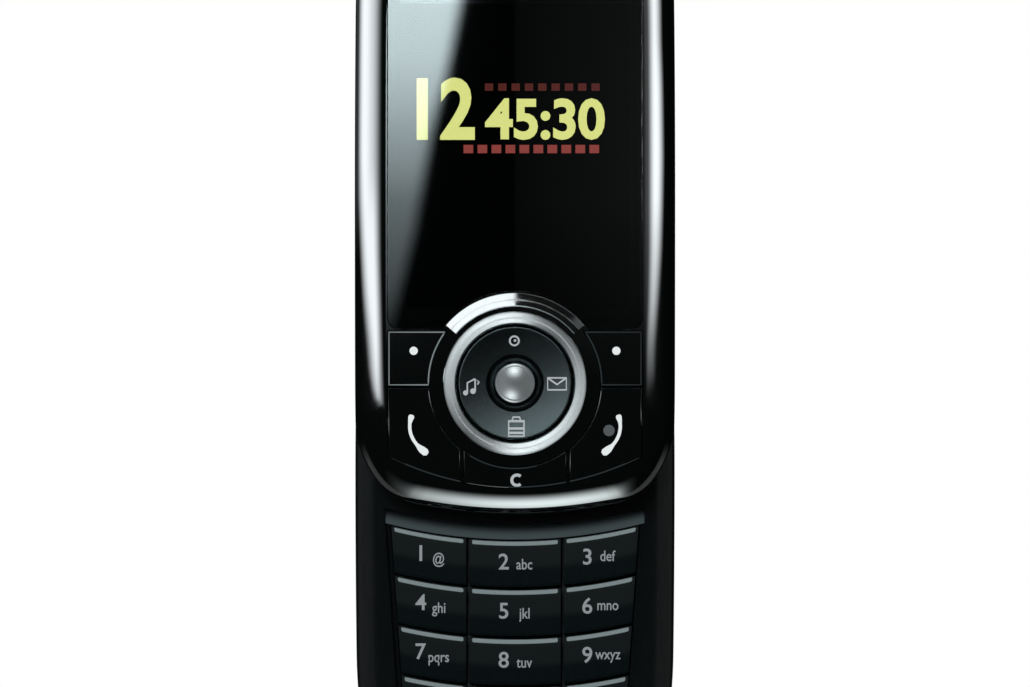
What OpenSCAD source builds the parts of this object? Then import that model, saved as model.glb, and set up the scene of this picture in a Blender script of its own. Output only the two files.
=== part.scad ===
// Slider phone, lying on its back and slid open, in millimetres.
// X runs across the phone, +Y towards its top end, +Z out of its face.
// The origin is the middle of the base's back face.

/* [Bodies] */
// Greatest width of both halves
body_w = 48.2; // [46:0.1:52]
// Length of each half
body_l = 96; // [94:0.5:104]
// Bow radius of the base's long sides
base_bow_r = 545; // [450:5:1200]
// Bow radius of the slide's sides above its middle
slide_high_bow_r = 700; // [500:10:1200]
// Bow radius of the slide's sides below its middle
slide_low_bow_r = 2400; // [1200:50:4000]
// How far the slide travels
travel = 41; // [38:0.5:42]
// Thickness of the base
base_t = 9.6; // [9.4:0.1:11]
// Thickness of the slide
slide_t = 7.2; // [7:0.1:8.4]
// Running gap between the slide and the base
slide_gap = 0.3; // [0.25:0.05:0.5]
// Wall thickness of the housings
wall = 2; // [1.6:0.1:2.4]
// Width of the rounded edge of the slide's face
face_round_w = 4.7; // [4.3:0.1:5]
// Height of the rounded edge of the slide's face
face_round_h = 4.1; // [3.6:0.1:4.3]

/* [Display] */
// Width of the clear window
window_w = 38.2; // [36:0.1:38.6]
// Length of the clear window
window_l = 55; // [50:0.5:56]
// Thickness of the clear window
window_t = 1; // [0.8:0.1:1.1]
// Width of the lit picture area
picture_w = 33.6; // [30:0.2:34.6]
// Length of the lit picture area
picture_l = 44.8; // [40:0.2:46]

/* [Navigation cluster] */
// Height of the cluster's centre above the chin
nav_up = 19.75; // [19:0.05:20.5]
// Outer radius of the fixed bright ring
ring_r = 10.8; // [10.4:0.1:11]
// Radius of the four-way key
nav_r = 8.45; // [8:0.05:8.7]
// Radius of the centre key
select_r = 3.05; // [2.8:0.05:3.2]
// Outer radius of the crescent above the ring
crescent_r = 13.5; // [13.2:0.1:13.6]
// Radial width of the crescent
crescent_w = 2; // [1.6:0.1:2.2]

/* [Number keys] */
// Width of the middle column
mid_key_w = 13.9; // [13:0.1:14.4]
// Width of each outer column
side_key_w = 11.4; // [10.4:0.1:11.5]
// Distance from one row to the next
row_pitch = 7.4; // [7:0.05:7.5]
// Gap between one key and the next
key_gap = 0.35; // [0.3:0.05:0.6]
// How much each outer column narrows for each mm towards the bottom
key_taper = 0.07; // [0:0.01:0.1]
// Radius of the curve that the rows follow
row_curve_r = 78; // [60:1:90]
// How far a key goes down
key_travel = 0.3; // [0.2:0.05:0.35]
// Clearance round a key in its opening
key_clear = 0.15; // [0.1:0.01:0.2]

/* [Slide mechanism] */
// Width across the moving plate
rail_w = 32.8; // [30:0.2:34]
// Length of the moving plate
rail_l = 69; // [67:0.5:70]
// Length of the fixed plate
guide_l = 25; // [22:0.5:26]
// Sheet thickness of both plates
sheet_t = 0.4; // [0.3:0.05:0.45]
// Diameter of the spring wire
spring_wire = 0.5; // [0.4:0.05:0.5]

/* [Battery] */
// Width of the battery
battery_w = 34; // [30:0.5:35]
// Length of the battery
battery_l = 55; // [50:0.5:56]
// Thickness of the battery
battery_t = 3.2; // [3:0.1:3.4]
// Thickness of the battery cover
cover_t = 1.1; // [1:0.05:1.2]
// How far the cover slides before it lifts off
cover_travel = 8; // [6:0.5:9]

/* [Hidden] */

$fn = 48;
eps = 0.01;
half_w = body_w / 2;
half_l = body_l / 2;

// Heights
split_base_z = 5.5;
base_top_z = base_t;
slide_z = base_top_z + slide_gap;
slide_top_z = slide_z + slide_t;
tray_z = slide_z + 2;                 // joint between the slide's rear and front covers
recess_d = 0.9;                       // the number keys lie this far below the base's top face
panel_z = base_top_z - recess_d;
panel_t = 0.8;
board_t = 0.8;
board_z = 5.2;
dome_h = 0.25;
press_gap = 0.05;                     // left under a key that is fully down
mat_t = 0.35;

// Where the open slide lies
slide_mid_y = travel;
chin_y = slide_mid_y - half_l;
nav_y = chin_y + nav_up;

// Outline of a half: bowed sides that turn through soft corners into shallow curved ends
end_bow_r = 74;
corner_w = 8;
corner_l = 9.8;
corner_steps = 8;
end_steps = 4;
side_steps = 3;
corner_x = half_w - corner_w;
corner_top = half_l - half_w * half_w / (2 * end_bow_r) - corner_l;
function end_y(x, turn) = half_l - x * x / (2 * end_bow_r) - corner_l * (1 - cos(turn));
function bow(y, r) = y * y / (2 * r);
// One quarter, from the middle of the end round to the middle of the side
function quarter(bow_r) = concat(
    [for (i = [0:end_steps - 1]) let (x = corner_x * i / end_steps) [x, end_y(x, 0)]],
    [for (i = [0:corner_steps]) let (turn = 90 * i / corner_steps, x = corner_x + corner_w * sin(turn))
        [x - bow(end_y(x, turn), bow_r) * pow(x / half_w, 2), end_y(x, turn)]],
    [for (i = [1:side_steps]) let (y = corner_top * (1 - i / side_steps)) [half_w - bow(y, bow_r), y]]);
function flipped(points) = [for (i = [len(points) - 1:-1:0]) points[i]];
function mirrored(points) = [for (i = [len(points) - 2:-1:1]) [-points[i].x, points[i].y]];
function down(points) = [for (p = points) [p.x, -p.y]];
function right_side(low_r, high_r) = let (low = quarter(low_r), high = quarter(high_r))
    concat(down(low), [for (i = [len(high) - 2:-1:0]) high[i]]);
function whole(low_r, high_r) = let (side = right_side(low_r, high_r)) concat(side, mirrored(side));
base_outline = whole(base_bow_r, base_bow_r);
slide_outline = whole(slide_low_bow_r, slide_high_bow_r);
function inset_points(points, inset) = [for (p = points)
    [p.x * (1 - inset / half_w), p.y * (1 - inset / half_l)]];
function side_x(y) = half_w - bow(y, base_bow_r);

// A closed solid through rings of points, each turning left about the way to the next
module skin(rings) {
    n = len(rings[0]);
    last = (len(rings) - 1) * n;
    sides = [for (r = [0:len(rings) - 2]) for (i = [0:n - 1]) let (
        a = r * n + i, b = r * n + (i + 1) % n, c = a + n, d = b + n)
        each [[a, c, d], [a, d, b]]];
    polyhedron([for (ring = rings) each ring],
        concat([[for (i = [0:n - 1]) i]], sides, [[for (i = [n - 1:-1:0]) last + i]]));
}

// A solid through copies of an outline; levels lists [inset, z] from the bottom up.
module lofted(outline, levels) {
    skin([for (l = levels) [for (p = inset_points(outline, l[0])) [p.x, p.y, l[1]]]]);
}

module prism(outline, inset, z0, z1) {
    translate([0, 0, z0]) linear_extrude(z1 - z0) polygon(inset_points(outline, inset));
}

module at_slide() {
    translate([0, slide_mid_y, 0]) children();
}

module block(size, at) {
    translate([at.x - size.x / 2, at.y - size.y / 2, at.z]) cube(size);
}

// A rounded plate in the XY plane, centred on at, standing on at.z
module plate(size, r, at) {
    translate([at.x, at.y, at.z]) linear_extrude(size.z) rounded(size.x, size.y, r);
}

module rounded(w, l, corner) {
    r = min(corner, w / 2 - eps, l / 2 - eps);
    square([w - 2 * r, l], center = true);
    square([w, l - 2 * r], center = true);
    for (x = [-1, 1], y = [-1, 1]) translate([x * (w / 2 - r), y * (l / 2 - r)]) circle(r);
}

module post(r, z0, z1, at) {
    translate([at.x, at.y, z0]) cylinder(r = r, h = z1 - z0);
}

// ---- Levels of the two housings ----
base_back_levels = [[3.3, 0], [1.9, 0.45], [1, 1.15], [0.35, 2.6], [0.08, 4.2], [0, split_base_z]];
base_face_levels = [[0, split_base_z], [0, base_top_z - 2.6], [0.22, base_top_z - 1.7],
    [0.75, base_top_z - 0.95], [1.55, base_top_z - 0.42], [2.5, base_top_z - 0.1], [3.2, base_top_z]];
slide_back_levels = [[0.9, slide_z], [0.4, slide_z + 0.4], [0.08, slide_z + 1.2], [0, tray_z]];
round_steps = 6;
slide_face_levels = concat([[0, tray_z]],
    [for (i = [0:round_steps]) let (a = 90 * i / round_steps)
        [face_round_w * (1 - cos(a)), slide_top_z - face_round_h * (1 - sin(a))]]);

// ---- Slide: face, window, bezel and trims ----
face_wall = 1.5;
face_inner_z = slide_top_z - face_wall;
window_clear = 0.1;
window_foot = 27.8;                   // from the chin to the window
head_room = 13.2;                     // from the window to the slide's top end
glass_l = min(window_l, body_l - window_foot - head_room);
glass_w = min(window_w, body_w - 10);
lit_l = min(picture_l, glass_l - 10.2);
lit_w = min(picture_w, glass_w - 4.6);
window_y = chin_y + window_foot + glass_l / 2;
window_floor_z = slide_top_z - window_t - 0.05;
picture_y = window_y - 1.4;
ring_w = 2.2;
ring_seat_d = 0.8;
collar_r = crescent_r + 0.15;
ear_y = slide_mid_y + half_l - 9;
ear_w = 10;
ear_h = 1.8;
ear_case_w = ear_w + 2;
ear_case_l = 6.4;
grille_t = 0.5;

module window_shape(grow) {
    difference() {
        translate([0, window_y]) rounded(glass_w + 2 * grow, glass_l + 2 * grow, 1.8 + grow);
        translate([0, nav_y]) circle(collar_r + 0.15 - grow, $fn = 96);
    }
}

module slide_front_cover() {
    color([0.03, 0.03, 0.035]) difference() {
        at_slide() lofted(slide_outline, slide_face_levels);
        at_slide() prism(slide_outline, wall, tray_z - 1, face_inner_z);
        translate([0, 0, window_floor_z]) linear_extrude(2) window_shape(window_clear);
        plate([lit_w + 0.8, lit_l + 0.8, 3], 0.5, [0, picture_y, face_inner_z - 1]);
        for (side = [-1, 1]) function_openings(side);
        translate([0, 0, face_inner_z - 1]) linear_extrude(3) clear_key_shape(key_clear);
        post(ring_r + 0.1, slide_top_z - ring_seat_d, slide_top_z + 1, [0, nav_y]);
        post(nav_r + key_clear + 0.2, face_inner_z - 1, slide_top_z, [0, nav_y]);
        translate([0, nav_y, slide_top_z - 0.4])
            linear_extrude(1) crescent_shape(0.05);
        plate([ear_w + 0.1, ear_h + 0.1, 2], ear_h / 2, [0, ear_y, slide_top_z - 0.6]);
        plate([ear_w - 1.2, ear_h - 1, 3], 0.39, [0, ear_y, face_inner_z - 1]);
    }
}

module function_openings(side) {
    translate([0, 0, face_inner_z - 1]) linear_extrude(3) soft_key_shape(side, key_clear);
    translate([0, 0, face_inner_z - 1]) linear_extrude(3) call_key_shape(side, key_clear);
}

module display_window() {
    color([0.05, 0.06, 0.07, 0.5]) translate([0, 0, window_floor_z])
        linear_extrude(window_t) window_shape(0);
}

module crescent_shape(grow) {
    span = 50;
    difference() {
        circle(crescent_r + grow, $fn = 96);
        circle(crescent_r - crescent_w - grow, $fn = 96);
        for (m = [0, 1]) mirror([m, 0]) rotate(span - 90) translate([0, -20]) translate([grow, 0]) square([40, 40]);
        translate([-20, -40]) square([40, 40]);
    }
}

module nav_crescent() {
    rise = 0.45;
    mid_r = crescent_r - crescent_w / 2;
    crown_r = (pow(crescent_w / 2, 2) + rise * rise) / (2 * rise);
    color([0.85, 0.86, 0.87]) translate([0, nav_y, slide_top_z]) intersection() {
        rotate_extrude($fn = 96) {
            translate([crescent_r - crescent_w, -0.35]) square([crescent_w, 0.36]);
            intersection() {
                translate([mid_r, rise - crown_r]) circle(crown_r, $fn = 64);
                translate([crescent_r - crescent_w, 0]) square([crescent_w, rise + 1]);
            }
        }
        translate([0, 0, -1]) linear_extrude(3) crescent_shape(0);
    }
}

module nav_bezel() {
    rise = 0.55;
    mid_r = ring_r - ring_w / 2;
    crown_r = (pow(ring_w / 2, 2) + rise * rise) / (2 * rise);
    color([0.8, 0.81, 0.83]) translate([0, nav_y, slide_top_z]) rotate_extrude($fn = 96) {
        translate([ring_r - ring_w, -ring_seat_d + 0.02]) square([ring_w, ring_seat_d]);
        intersection() {
            translate([mid_r, rise - crown_r]) circle(crown_r, $fn = 64);
            translate([ring_r - ring_w, 0]) square([ring_w, rise + 1]);
        }
    }
}

module earpiece_grille() {
    hole_pitch = 1;
    color([0.55, 0.56, 0.58]) difference() {
        plate([ear_w, ear_h, grille_t], ear_h / 2, [0, ear_y, slide_top_z - 0.6]);
        for (ix = [-4:4], iy = [-0.5, 0.5])
            post(0.22, slide_top_z - 1, slide_top_z + 1, [ix * hole_pitch * 0.9, ear_y + iy * 0.7]);
    }
}

// ---- Slide: inner parts ----
slide_board_z = tray_z + 0.3;
slide_board_top = slide_board_z + board_t;
display_z = slide_board_top;
display_t = face_inner_z - 0.1 - display_z;
flange_t = 0.6;
flange_gap = 0.1;
flange_top = face_inner_z - flange_gap;
flange_out = 0.5;
plunger_z = slide_board_top + dome_h + key_travel + press_gap;

module earpiece() {
    ear_t = 1.6;
    color([0.2, 0.2, 0.22]) {
        plate([ear_case_w, ear_case_l, ear_t], 1.5, [0, ear_y, face_inner_z - ear_t]);
        for (s = [-1, 1]) post(0.5, slide_board_top, face_inner_z - ear_t + eps, [s * ear_w / 2, ear_y]);
    }
}

module display_panel() {
    frame_t = 0.3;
    color([0.02, 0.02, 0.03])
        plate([lit_w + 1.6, lit_l + 3, display_t - frame_t], 0.3,
            [0, picture_y, display_z + frame_t]);
}

module display_frame() {
    frame_t = 0.3;
    color([0.7, 0.71, 0.72]) difference() {
        plate([lit_w + 3, lit_l + 4.4, display_t - 0.1], 0.6, [0, picture_y, display_z]);
        plate([lit_w + 1.8, lit_l + 3.2, display_t], 0.3, [0, picture_y, display_z + frame_t]);
    }
}

module slide_board() {
    color([0.05, 0.3, 0.15]) difference() {
        at_slide() prism(slide_outline, wall + 0.5, slide_board_z, slide_board_top);
        for (at = slide_bosses) post(boss_r + 0.3, tray_z, slide_board_top + 1, at);
        block([camera_w + 0.4, camera_w + 0.4, 3], [0, camera_y, tray_z]);
    }
}

key_spots = [[-15, nav_y + 4], [15, nav_y + 4], [-15, nav_y - 7.4], [15, nav_y - 7.4], [0, nav_y - 14.4]];
nav_spots = [[0, 0], [0, 6.6], [0, -6.6], [6.6, 0], [-6.6, 0]];

module dome(at, z, r = 1.9) {
    translate([at.x, at.y, z]) {
        cylinder(r1 = r, r2 = r * 0.75, h = dome_h * 0.6);
        translate([0, 0, dome_h * 0.6 - eps]) cylinder(r1 = r * 0.75, r2 = r * 0.35, h = dome_h * 0.4 + eps);
    }
}

module slide_domes() {
    color([0.8, 0.8, 0.78]) {
        for (at = key_spots) dome(at, slide_board_top, 1.6);
        for (p = nav_spots) dome([p.x, nav_y + p.y], slide_board_top);
    }
}

boss_r = 1.6;
slide_bosses = [for (x = [-1, 1], y = [-1, 1]) [x * (half_w - 5.1), slide_mid_y + y * (half_l - 14)]];
pocket_clear = 0.3;
pocket_top = slide_z + 1.45;
plate_l = min(rail_l, body_l - 9 - 5 - 1.5 - 10);
rail_y = chin_y + 10 + plate_l / 2;
camera_y = slide_mid_y + half_l - 9;
camera_r = 5;
camera_w = 7.4;

module slide_rear_cover() {
    color([0.05, 0.05, 0.055]) difference() {
        union() {
            at_slide() lofted(slide_outline, slide_back_levels);
            for (at = slide_bosses) post(boss_r, tray_z - eps, tray_z + 2.4, at);
        }
        block([rail_w + 2 * pocket_clear, plate_l + 2 * pocket_clear, pocket_top - slide_z + 1],
            [0, rail_y, slide_z - 1]);
        for (at = slide_bosses) {
            post(screw_r + 0.05, slide_z - 1, tray_z + 3, at);
            post(head_r + 0.1, slide_z - 1, slide_z + 0.9, at);
        }
        for (at = plate_holes) post(screw_r, slide_z, tray_z + 1, at);
        block([flex_w + 1, 1.6, 4], [flex_x, flex_slide_y, slide_z]);
        post(camera_r + 0.05, slide_z - 1, slide_z + 0.8, [0, camera_y]);
        post(3.7, slide_z - 1, tray_z + 1, [0, camera_y]);
    }
}

module camera_bezel() {
    color([0.75, 0.76, 0.78]) translate([0, camera_y, slide_z]) difference() {
        cylinder(r = camera_r, h = 0.8);
        translate([0, 0, -eps]) cylinder(r1 = 3.6, r2 = 3, h = 0.4 + 2 * eps);
        translate([0, 0, 0.2]) cylinder(r = 3, h = 1);
    }
}

module camera_lens() {
    color([0.1, 0.12, 0.2, 0.6]) post(2.95, slide_z + 0.35, slide_z + 0.8, [0, camera_y]);
}

module camera_module() {
    color([0.15, 0.15, 0.17]) {
        post(2.9, slide_z + 0.8, tray_z + 0.2, [0, camera_y]);
        block([camera_w, camera_w, 1.4], [0, camera_y, tray_z + 0.2 - eps]);
    }
}

// ---- Slide mechanism ----
guide_y = chin_y + 12 + guide_l / 2;
flange_reach = 2.6;
web_x = rail_w / 2 - sheet_t - 0.3 - flange_reach;
lip_z = slide_z + 0.02;
lip_t = 0.25;
guide_flange_z = lip_z + lip_t + 0.15;
guide_flange_t = 0.4;
plate_z = guide_flange_z + guide_flange_t + 0.12;
spring_x = [2, 10];
spring_fixed_y = guide_y;
spring_moving_y = spring_fixed_y + travel / 2;
spring_z = base_top_z + sheet_t + 0.08;
pin_r = 0.7;

module moving_plate() {
    lip_w = flange_reach - 0.3;
    color([0.62, 0.63, 0.65]) {
        difference() {
            union() {
                block([rail_w, plate_l, sheet_t], [0, rail_y, plate_z]);
                for (s = [-1, 1]) {
                    block([sheet_t, plate_l, plate_z - lip_z + eps], [s * (rail_w - sheet_t) / 2, rail_y, lip_z]);
                    block([lip_w + sheet_t, plate_l, lip_t],
                        [s * (rail_w - sheet_t - lip_w) / 2, rail_y, lip_z]);
                }
            }
            block([flex_w + 0.6, 1.2, 3], [flex_x, flex_slide_y, plate_z - 1]);
            for (at = plate_holes) post(screw_r + 0.05, plate_z - 1, plate_z + 1, at);
            for (y = [-1, 1]) plate([12, 14, 2], 3, [0, rail_y + y * plate_l / 3.2, plate_z - 1]);
        }
        post(pin_r, spring_z + 0.1, plate_z + eps, [spring_x[1], spring_moving_y]);
    }
}

plate_holes = [for (x = [-1, 1], y = [-1, 1]) [x * (web_x - 1.9), rail_y + y * (plate_l / 2 - 3)]];

module slide_screws() {
    color([0.5, 0.5, 0.52]) {
        for (at = slide_bosses) translate([at.x, at.y, slide_z + 0.9]) mirror([0, 0, 1]) screw(0.6, 3.6);
        for (at = plate_holes) translate([at.x, at.y, plate_z]) mirror([0, 0, 1]) screw(0.35, 0.9);
    }
}

module guide_plate() {
    web_h = guide_flange_z + guide_flange_t - base_top_z;
    color([0.66, 0.67, 0.69]) {
        difference() {
            union() {
                block([2 * web_x, guide_l, sheet_t], [0, guide_y, base_top_z]);
                for (s = [-1, 1]) {
                    block([sheet_t, guide_l, web_h], [s * (web_x - sheet_t / 2), guide_y, base_top_z]);
                    block([flange_reach + sheet_t, guide_l, guide_flange_t],
                        [s * (web_x + (flange_reach - sheet_t) / 2), guide_y, guide_flange_z]);
                }
            }
            for (at = guide_holes) post(screw_r + 0.05, base_top_z - 1, base_top_z + 1, at);
            block([flex_w + 0.6, 1.2, 3], [flex_x, flex_base_y, base_top_z - 1]);
        }
        post(pin_r, base_top_z + sheet_t - eps, plate_z - 0.12, [spring_x[0], spring_fixed_y]);
    }
}

guide_holes = [for (x = [-1, 1], y = [-1, 1]) [x * (web_x - 1.9), guide_y + y * (guide_l / 2 - 2)]];

module guide_screws() {
    color([0.5, 0.5, 0.52]) for (at = guide_holes)
        translate([at.x, at.y, base_top_z + sheet_t]) screw(0.3, sheet_t + 1.2);
}

screw_r = 0.6;
head_r = 1.15;

// A screw standing with its head's underside at z = 0 and its shank below
module screw(head_t, shank_l) {
    difference() {
        union() {
            cylinder(r = head_r, h = head_t);
            translate([0, 0, -shank_l]) cylinder(r = screw_r, h = shank_l + eps);
        }
        for (a = [0, 90]) rotate(a) translate([-0.75, -0.13, head_t * 0.45]) cube([1.5, 0.26, 1]);
    }
}

// The flat wire spring that flips the slide open or shut past its middle: an eye round each
// pin, and lobes between them, all on one path
spring_lobes = 4;
spring_sides = 8;
eye_r = pin_r + 0.1 + spring_wire / 2;
spring_run = norm([spring_x[1] - spring_x[0], spring_moving_y - spring_fixed_y]);
spring_turn = atan2(spring_moving_y - spring_fixed_y, spring_x[1] - spring_x[0]);
lobe_r = (spring_run - 2 * eye_r) / spring_lobes / 2;
// Each entry is a point's place and the heading of the wire there
function arc_path(x, r, from, step, count) = [for (i = [0:count]) let (a = from + i * step)
    [x + r * cos(a), r * sin(a), a + (step > 0 ? 90 : -90)]];
spring_path = concat(
    arc_path(0, eye_r, 90, 22.5, 11),
    [for (i = [0:spring_lobes - 1]) each arc_path(eye_r + lobe_r * (2 * i + 1), lobe_r, 180,
        i % 2 == 0 ? -22.5 : 22.5, 7)],
    arc_path(spring_run, eye_r, 180, -22.5, 12));

module slide_spring() {
    r = spring_wire / 2;
    color([0.8, 0.8, 0.8])
        translate([spring_x[0], spring_fixed_y, spring_z + 0.05 + r]) rotate(spring_turn)
            skin([for (p = spring_path) [for (k = [0:spring_sides - 1]) let (a = (k + 0.5) * 360 / spring_sides)
                [p.x - r * cos(a) * sin(p.z), p.y + r * cos(a) * cos(p.z), r * sin(a)]]]);
}

flex_w = 7;
flex_x = -6;
flex_t = 0.12;
flex_base_y = guide_y + guide_l / 2 - 3.5;
flex_slide_y = rail_y + 8.5;
flex_turn_y = guide_y - 5;
flex_low_z = base_top_z + sheet_t + 0.04;
flex_top_z = plate_z - 0.06;

module flex_cable() {
    turn_r = (flex_top_z - flex_low_z) / 2;
    color([0.75, 0.45, 0.1]) {
        block([flex_w, flex_base_y - flex_turn_y, flex_t],
            [flex_x, (flex_base_y + flex_turn_y) / 2, flex_low_z]);
        block([flex_w, flex_slide_y - flex_turn_y, flex_t],
            [flex_x, (flex_slide_y + flex_turn_y) / 2, flex_top_z - flex_t]);
        block([flex_w, flex_t, flex_low_z - base_top_z + 2], [flex_x, flex_base_y, base_top_z - 2]);
        block([flex_w, flex_t, slide_board_z - flex_top_z + flex_t],
            [flex_x, flex_slide_y, flex_top_z - flex_t]);
        translate([flex_x - flex_w / 2, flex_turn_y, flex_low_z + turn_r]) rotate([0, 90, 0])
            linear_extrude(flex_w) difference() {
                circle(turn_r);
                circle(turn_r - flex_t);
                translate([-5, 0]) square([10, 5]);
            }
    }
}

// ---- Slide: keys ----
function_w = 38;
function_top = nav_y + 7.75;
function_mid = nav_y - 0.55;
key_line = 0.4;
cluster_r = 12.9;
clear_key_r = 12.7;
chin_curve = 0.0128;
key_foot_y = nav_y - 15.7;
proud = 0.12;

module soft_key_shape(side, grow) {
    inner_x = 8.2;
    y0 = function_mid + key_line / 2;
    difference() {
        mirror([side > 0 ? 0 : 1, 0]) translate([inner_x, y0 - grow])
            square([function_w / 2 + grow - inner_x, function_top - y0 + 2 * grow]);
        translate([0, nav_y]) circle(cluster_r - grow, $fn = 96);
    }
}

module call_key_shape(side, grow) {
    inner_x = 8.2;
    steps = 8;
    x0 = inner_x - grow;
    x1 = function_w / 2 + grow;
    difference() {
        mirror([side > 0 ? 0 : 1, 0]) polygon(concat(
            [for (i = [0:steps]) let (x = x0 + (x1 - x0) * i / steps)
                [x, key_foot_y + chin_curve * x * x - grow]],
            [[x1, function_mid - key_line / 2 + grow], [x0, function_mid - key_line / 2 + grow]]));
        translate([0, nav_y]) circle(cluster_r - grow, $fn = 96);
    }
}

module clear_key_shape(grow) {
    outer_x = 7.7 + grow;
    steps = 8;
    difference() {
        polygon(concat(
            [for (i = [0:steps]) let (x = outer_x * (2 * i / steps - 1))
                [x, key_foot_y + chin_curve * x * x - grow]],
            [[outer_x, nav_y - 10], [-outer_x, nav_y - 10]]));
        translate([0, nav_y]) circle(clear_key_r - grow, $fn = 96);
    }
}

// A key's cap, the flange that holds it under the face, and the plunger that works its dome
module slide_key(spot) {
    color([0.04, 0.04, 0.045]) {
        translate([0, 0, flange_top - eps]) linear_extrude(slide_top_z + proud - flange_top + eps) children(0);
        translate([0, 0, flange_top - flange_t]) linear_extrude(flange_t) children(1);
        post(1.2, plunger_z, flange_top - flange_t + eps, spot);
    }
}

module left_soft_key() {
    slide_key(key_spots[0]) { soft_key_shape(-1, 0); flange_of(-1) soft_key_shape(-1, 0.12); }
}

module right_soft_key() {
    slide_key(key_spots[1]) { soft_key_shape(1, 0); flange_of(1) soft_key_shape(1, 0.12); }
}

module call_key() {
    slide_key(key_spots[2]) { call_key_shape(-1, 0); flange_of(-1) call_key_shape(-1, 0.12); }
}

module end_key() {
    slide_key(key_spots[3]) { call_key_shape(1, 0); flange_of(1) call_key_shape(1, 0.12); }
}

// Flanges stand out only towards the phone's side, where nothing else is
module flange_of(side) {
    children();
    intersection() {
        translate([side * flange_out, 0]) children();
        translate([side > 0 ? 5 : -35, -40]) square([30, 120]);
    }
}

module clear_key() {
    slide_key(key_spots[4]) {
        clear_key_shape(0);
        union() {
            clear_key_shape(0.12);
            intersection() {
                translate([0, -flange_out]) clear_key_shape(0);
                translate([-6, -40]) square([12, 60]);
            }
        }
    }
}

rock_gap = 0.03;                      // under a foot or nub that rocks
pad_t = 0.5;
pad_z = flange_top - flange_t - 0.5 - pad_t;
nav_bottom = pad_z + pad_t + 0.3;

// A gimbal: it rocks about its two feet, and the four-way key rocks about its two nubs
module nav_pad() {
    foot_r = 0.45;
    pivot_at = 4.4;
    color([0.3, 0.3, 0.32]) translate([0, nav_y, 0]) {
        difference() {
            post(5.2, pad_z, pad_z + pad_t, [0, 0]);
            post(3.4, pad_z - 1, pad_z + 2, [0, 0]);
        }
        for (s = [-1, 1]) {
            post(foot_r, slide_board_top + rock_gap, pad_z + eps, [s * pivot_at, 0]);
            post(foot_r, pad_z + pad_t - eps, nav_bottom - rock_gap, [0, s * pivot_at]);
        }
    }
}

module nav_key() {
    well_r = 3.95;
    well_d = 0.7;
    hole_r = select_r + key_clear + 0.05;
    top_z = slide_top_z + 0.2;
    dish_r = 90;
    color([0.2, 0.21, 0.23]) translate([0, nav_y, 0]) difference() {
        union() {
            post(nav_r, face_inner_z - 0.3, top_z, [0, 0]);
            post(nav_r + 0.7, nav_bottom, flange_top - 0.3, [0, 0]);
            post(nav_r - 0.2, nav_bottom + 0.2, face_inner_z, [0, 0]);
            for (p = nav_spots) if (p.x != 0 || p.y != 0)
                post(1, plunger_z + 0.02, nav_bottom + 0.2, [p.x, p.y]);
        }
        post(hole_r, nav_bottom - 2, top_z + 1, [0, 0]);
        translate([0, 0, top_z - well_d]) cylinder(r1 = hole_r, r2 = well_r, h = well_d + eps);
        translate([0, 0, top_z - 0.16 + dish_r]) sphere(dish_r, $fn = 200);
    }
}

module select_key() {
    rise = 0.75;
    skirt_z = slide_top_z - 0.35;
    crown_r = (select_r * select_r + rise * rise) / (2 * rise);
    color([0.75, 0.76, 0.78]) translate([0, nav_y, 0]) {
        post(select_r, nav_bottom + 0.6, skirt_z, [0, 0]);
        translate([0, 0, skirt_z - eps]) rotate_extrude() intersection() {
            translate([0, rise - crown_r]) circle(crown_r, $fn = 96);
            square([select_r, rise + 1]);
        }
        post(1.4, plunger_z, nav_bottom + 0.6 + eps, [0, 0]);
    }
}

// ---- Base: covers ----
keys_room = body_w - 11 - 2 * key_gap;
keys_scale = min(1, keys_room / (mid_key_w + 2 * side_key_w));
mid_w = mid_key_w * keys_scale;
side_w = side_key_w * keys_scale;
keypad_w = mid_w + 2 * (side_w + key_gap);
panel_margin = 0.9;
panel_top_y = chin_y - 3.6;
first_row_y = panel_top_y - 0.45;
rows = 4;
row_depth = row_pitch - key_gap;
function row_curve(x) = row_curve_r - sqrt(row_curve_r * row_curve_r - x * x);
function row_y(row) = first_row_y - row * row_pitch;
panel_bottom_y = row_y(rows) - 0.5;
// Half the keypad's width on the curve that starts at y
function keypad_half(y) = keypad_w / 2 - key_taper * (first_row_y - y);
// A band between two of the curves that the rows follow, from x0 to x1 at each
module curved_band(bottom_y, bottom_xs, top_y, top_xs, steps = 16) {
    function across(xs) = [for (i = [0:steps]) xs[0] + (xs[1] - xs[0]) * i / steps];
    polygon(concat([for (x = across(bottom_xs)) [x, bottom_y + row_curve(x)]],
        [for (x = flipped(across(top_xs))) [x, top_y + row_curve(x)]]));
}
base_boss_r = 1.7;
base_boss_x = half_w - 4.2;
base_bosses = [[-base_boss_x, -half_l + 13], [base_boss_x, -half_l + 13],
    [-base_boss_x, half_l - 14], [base_boss_x, half_l - 14]];
socket_w = 11;
socket_h = 1.8;
speaker_y = half_l - 9;
speaker_z = 1.2;
cavity_top_z = panel_z - panel_t;
mic_r = 1.6;
mic_x = 15.5;
mic_at = [mic_x, panel_bottom_y - 1.2 + row_curve(mic_x)];

module panel_shape(grow) {
    low = keypad_half(panel_bottom_y) + panel_margin + grow;
    high = keypad_half(panel_top_y) + panel_margin + grow;
    curved_band(panel_bottom_y - grow, [-low, low], panel_top_y + grow, [-high, high]);
}

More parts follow.
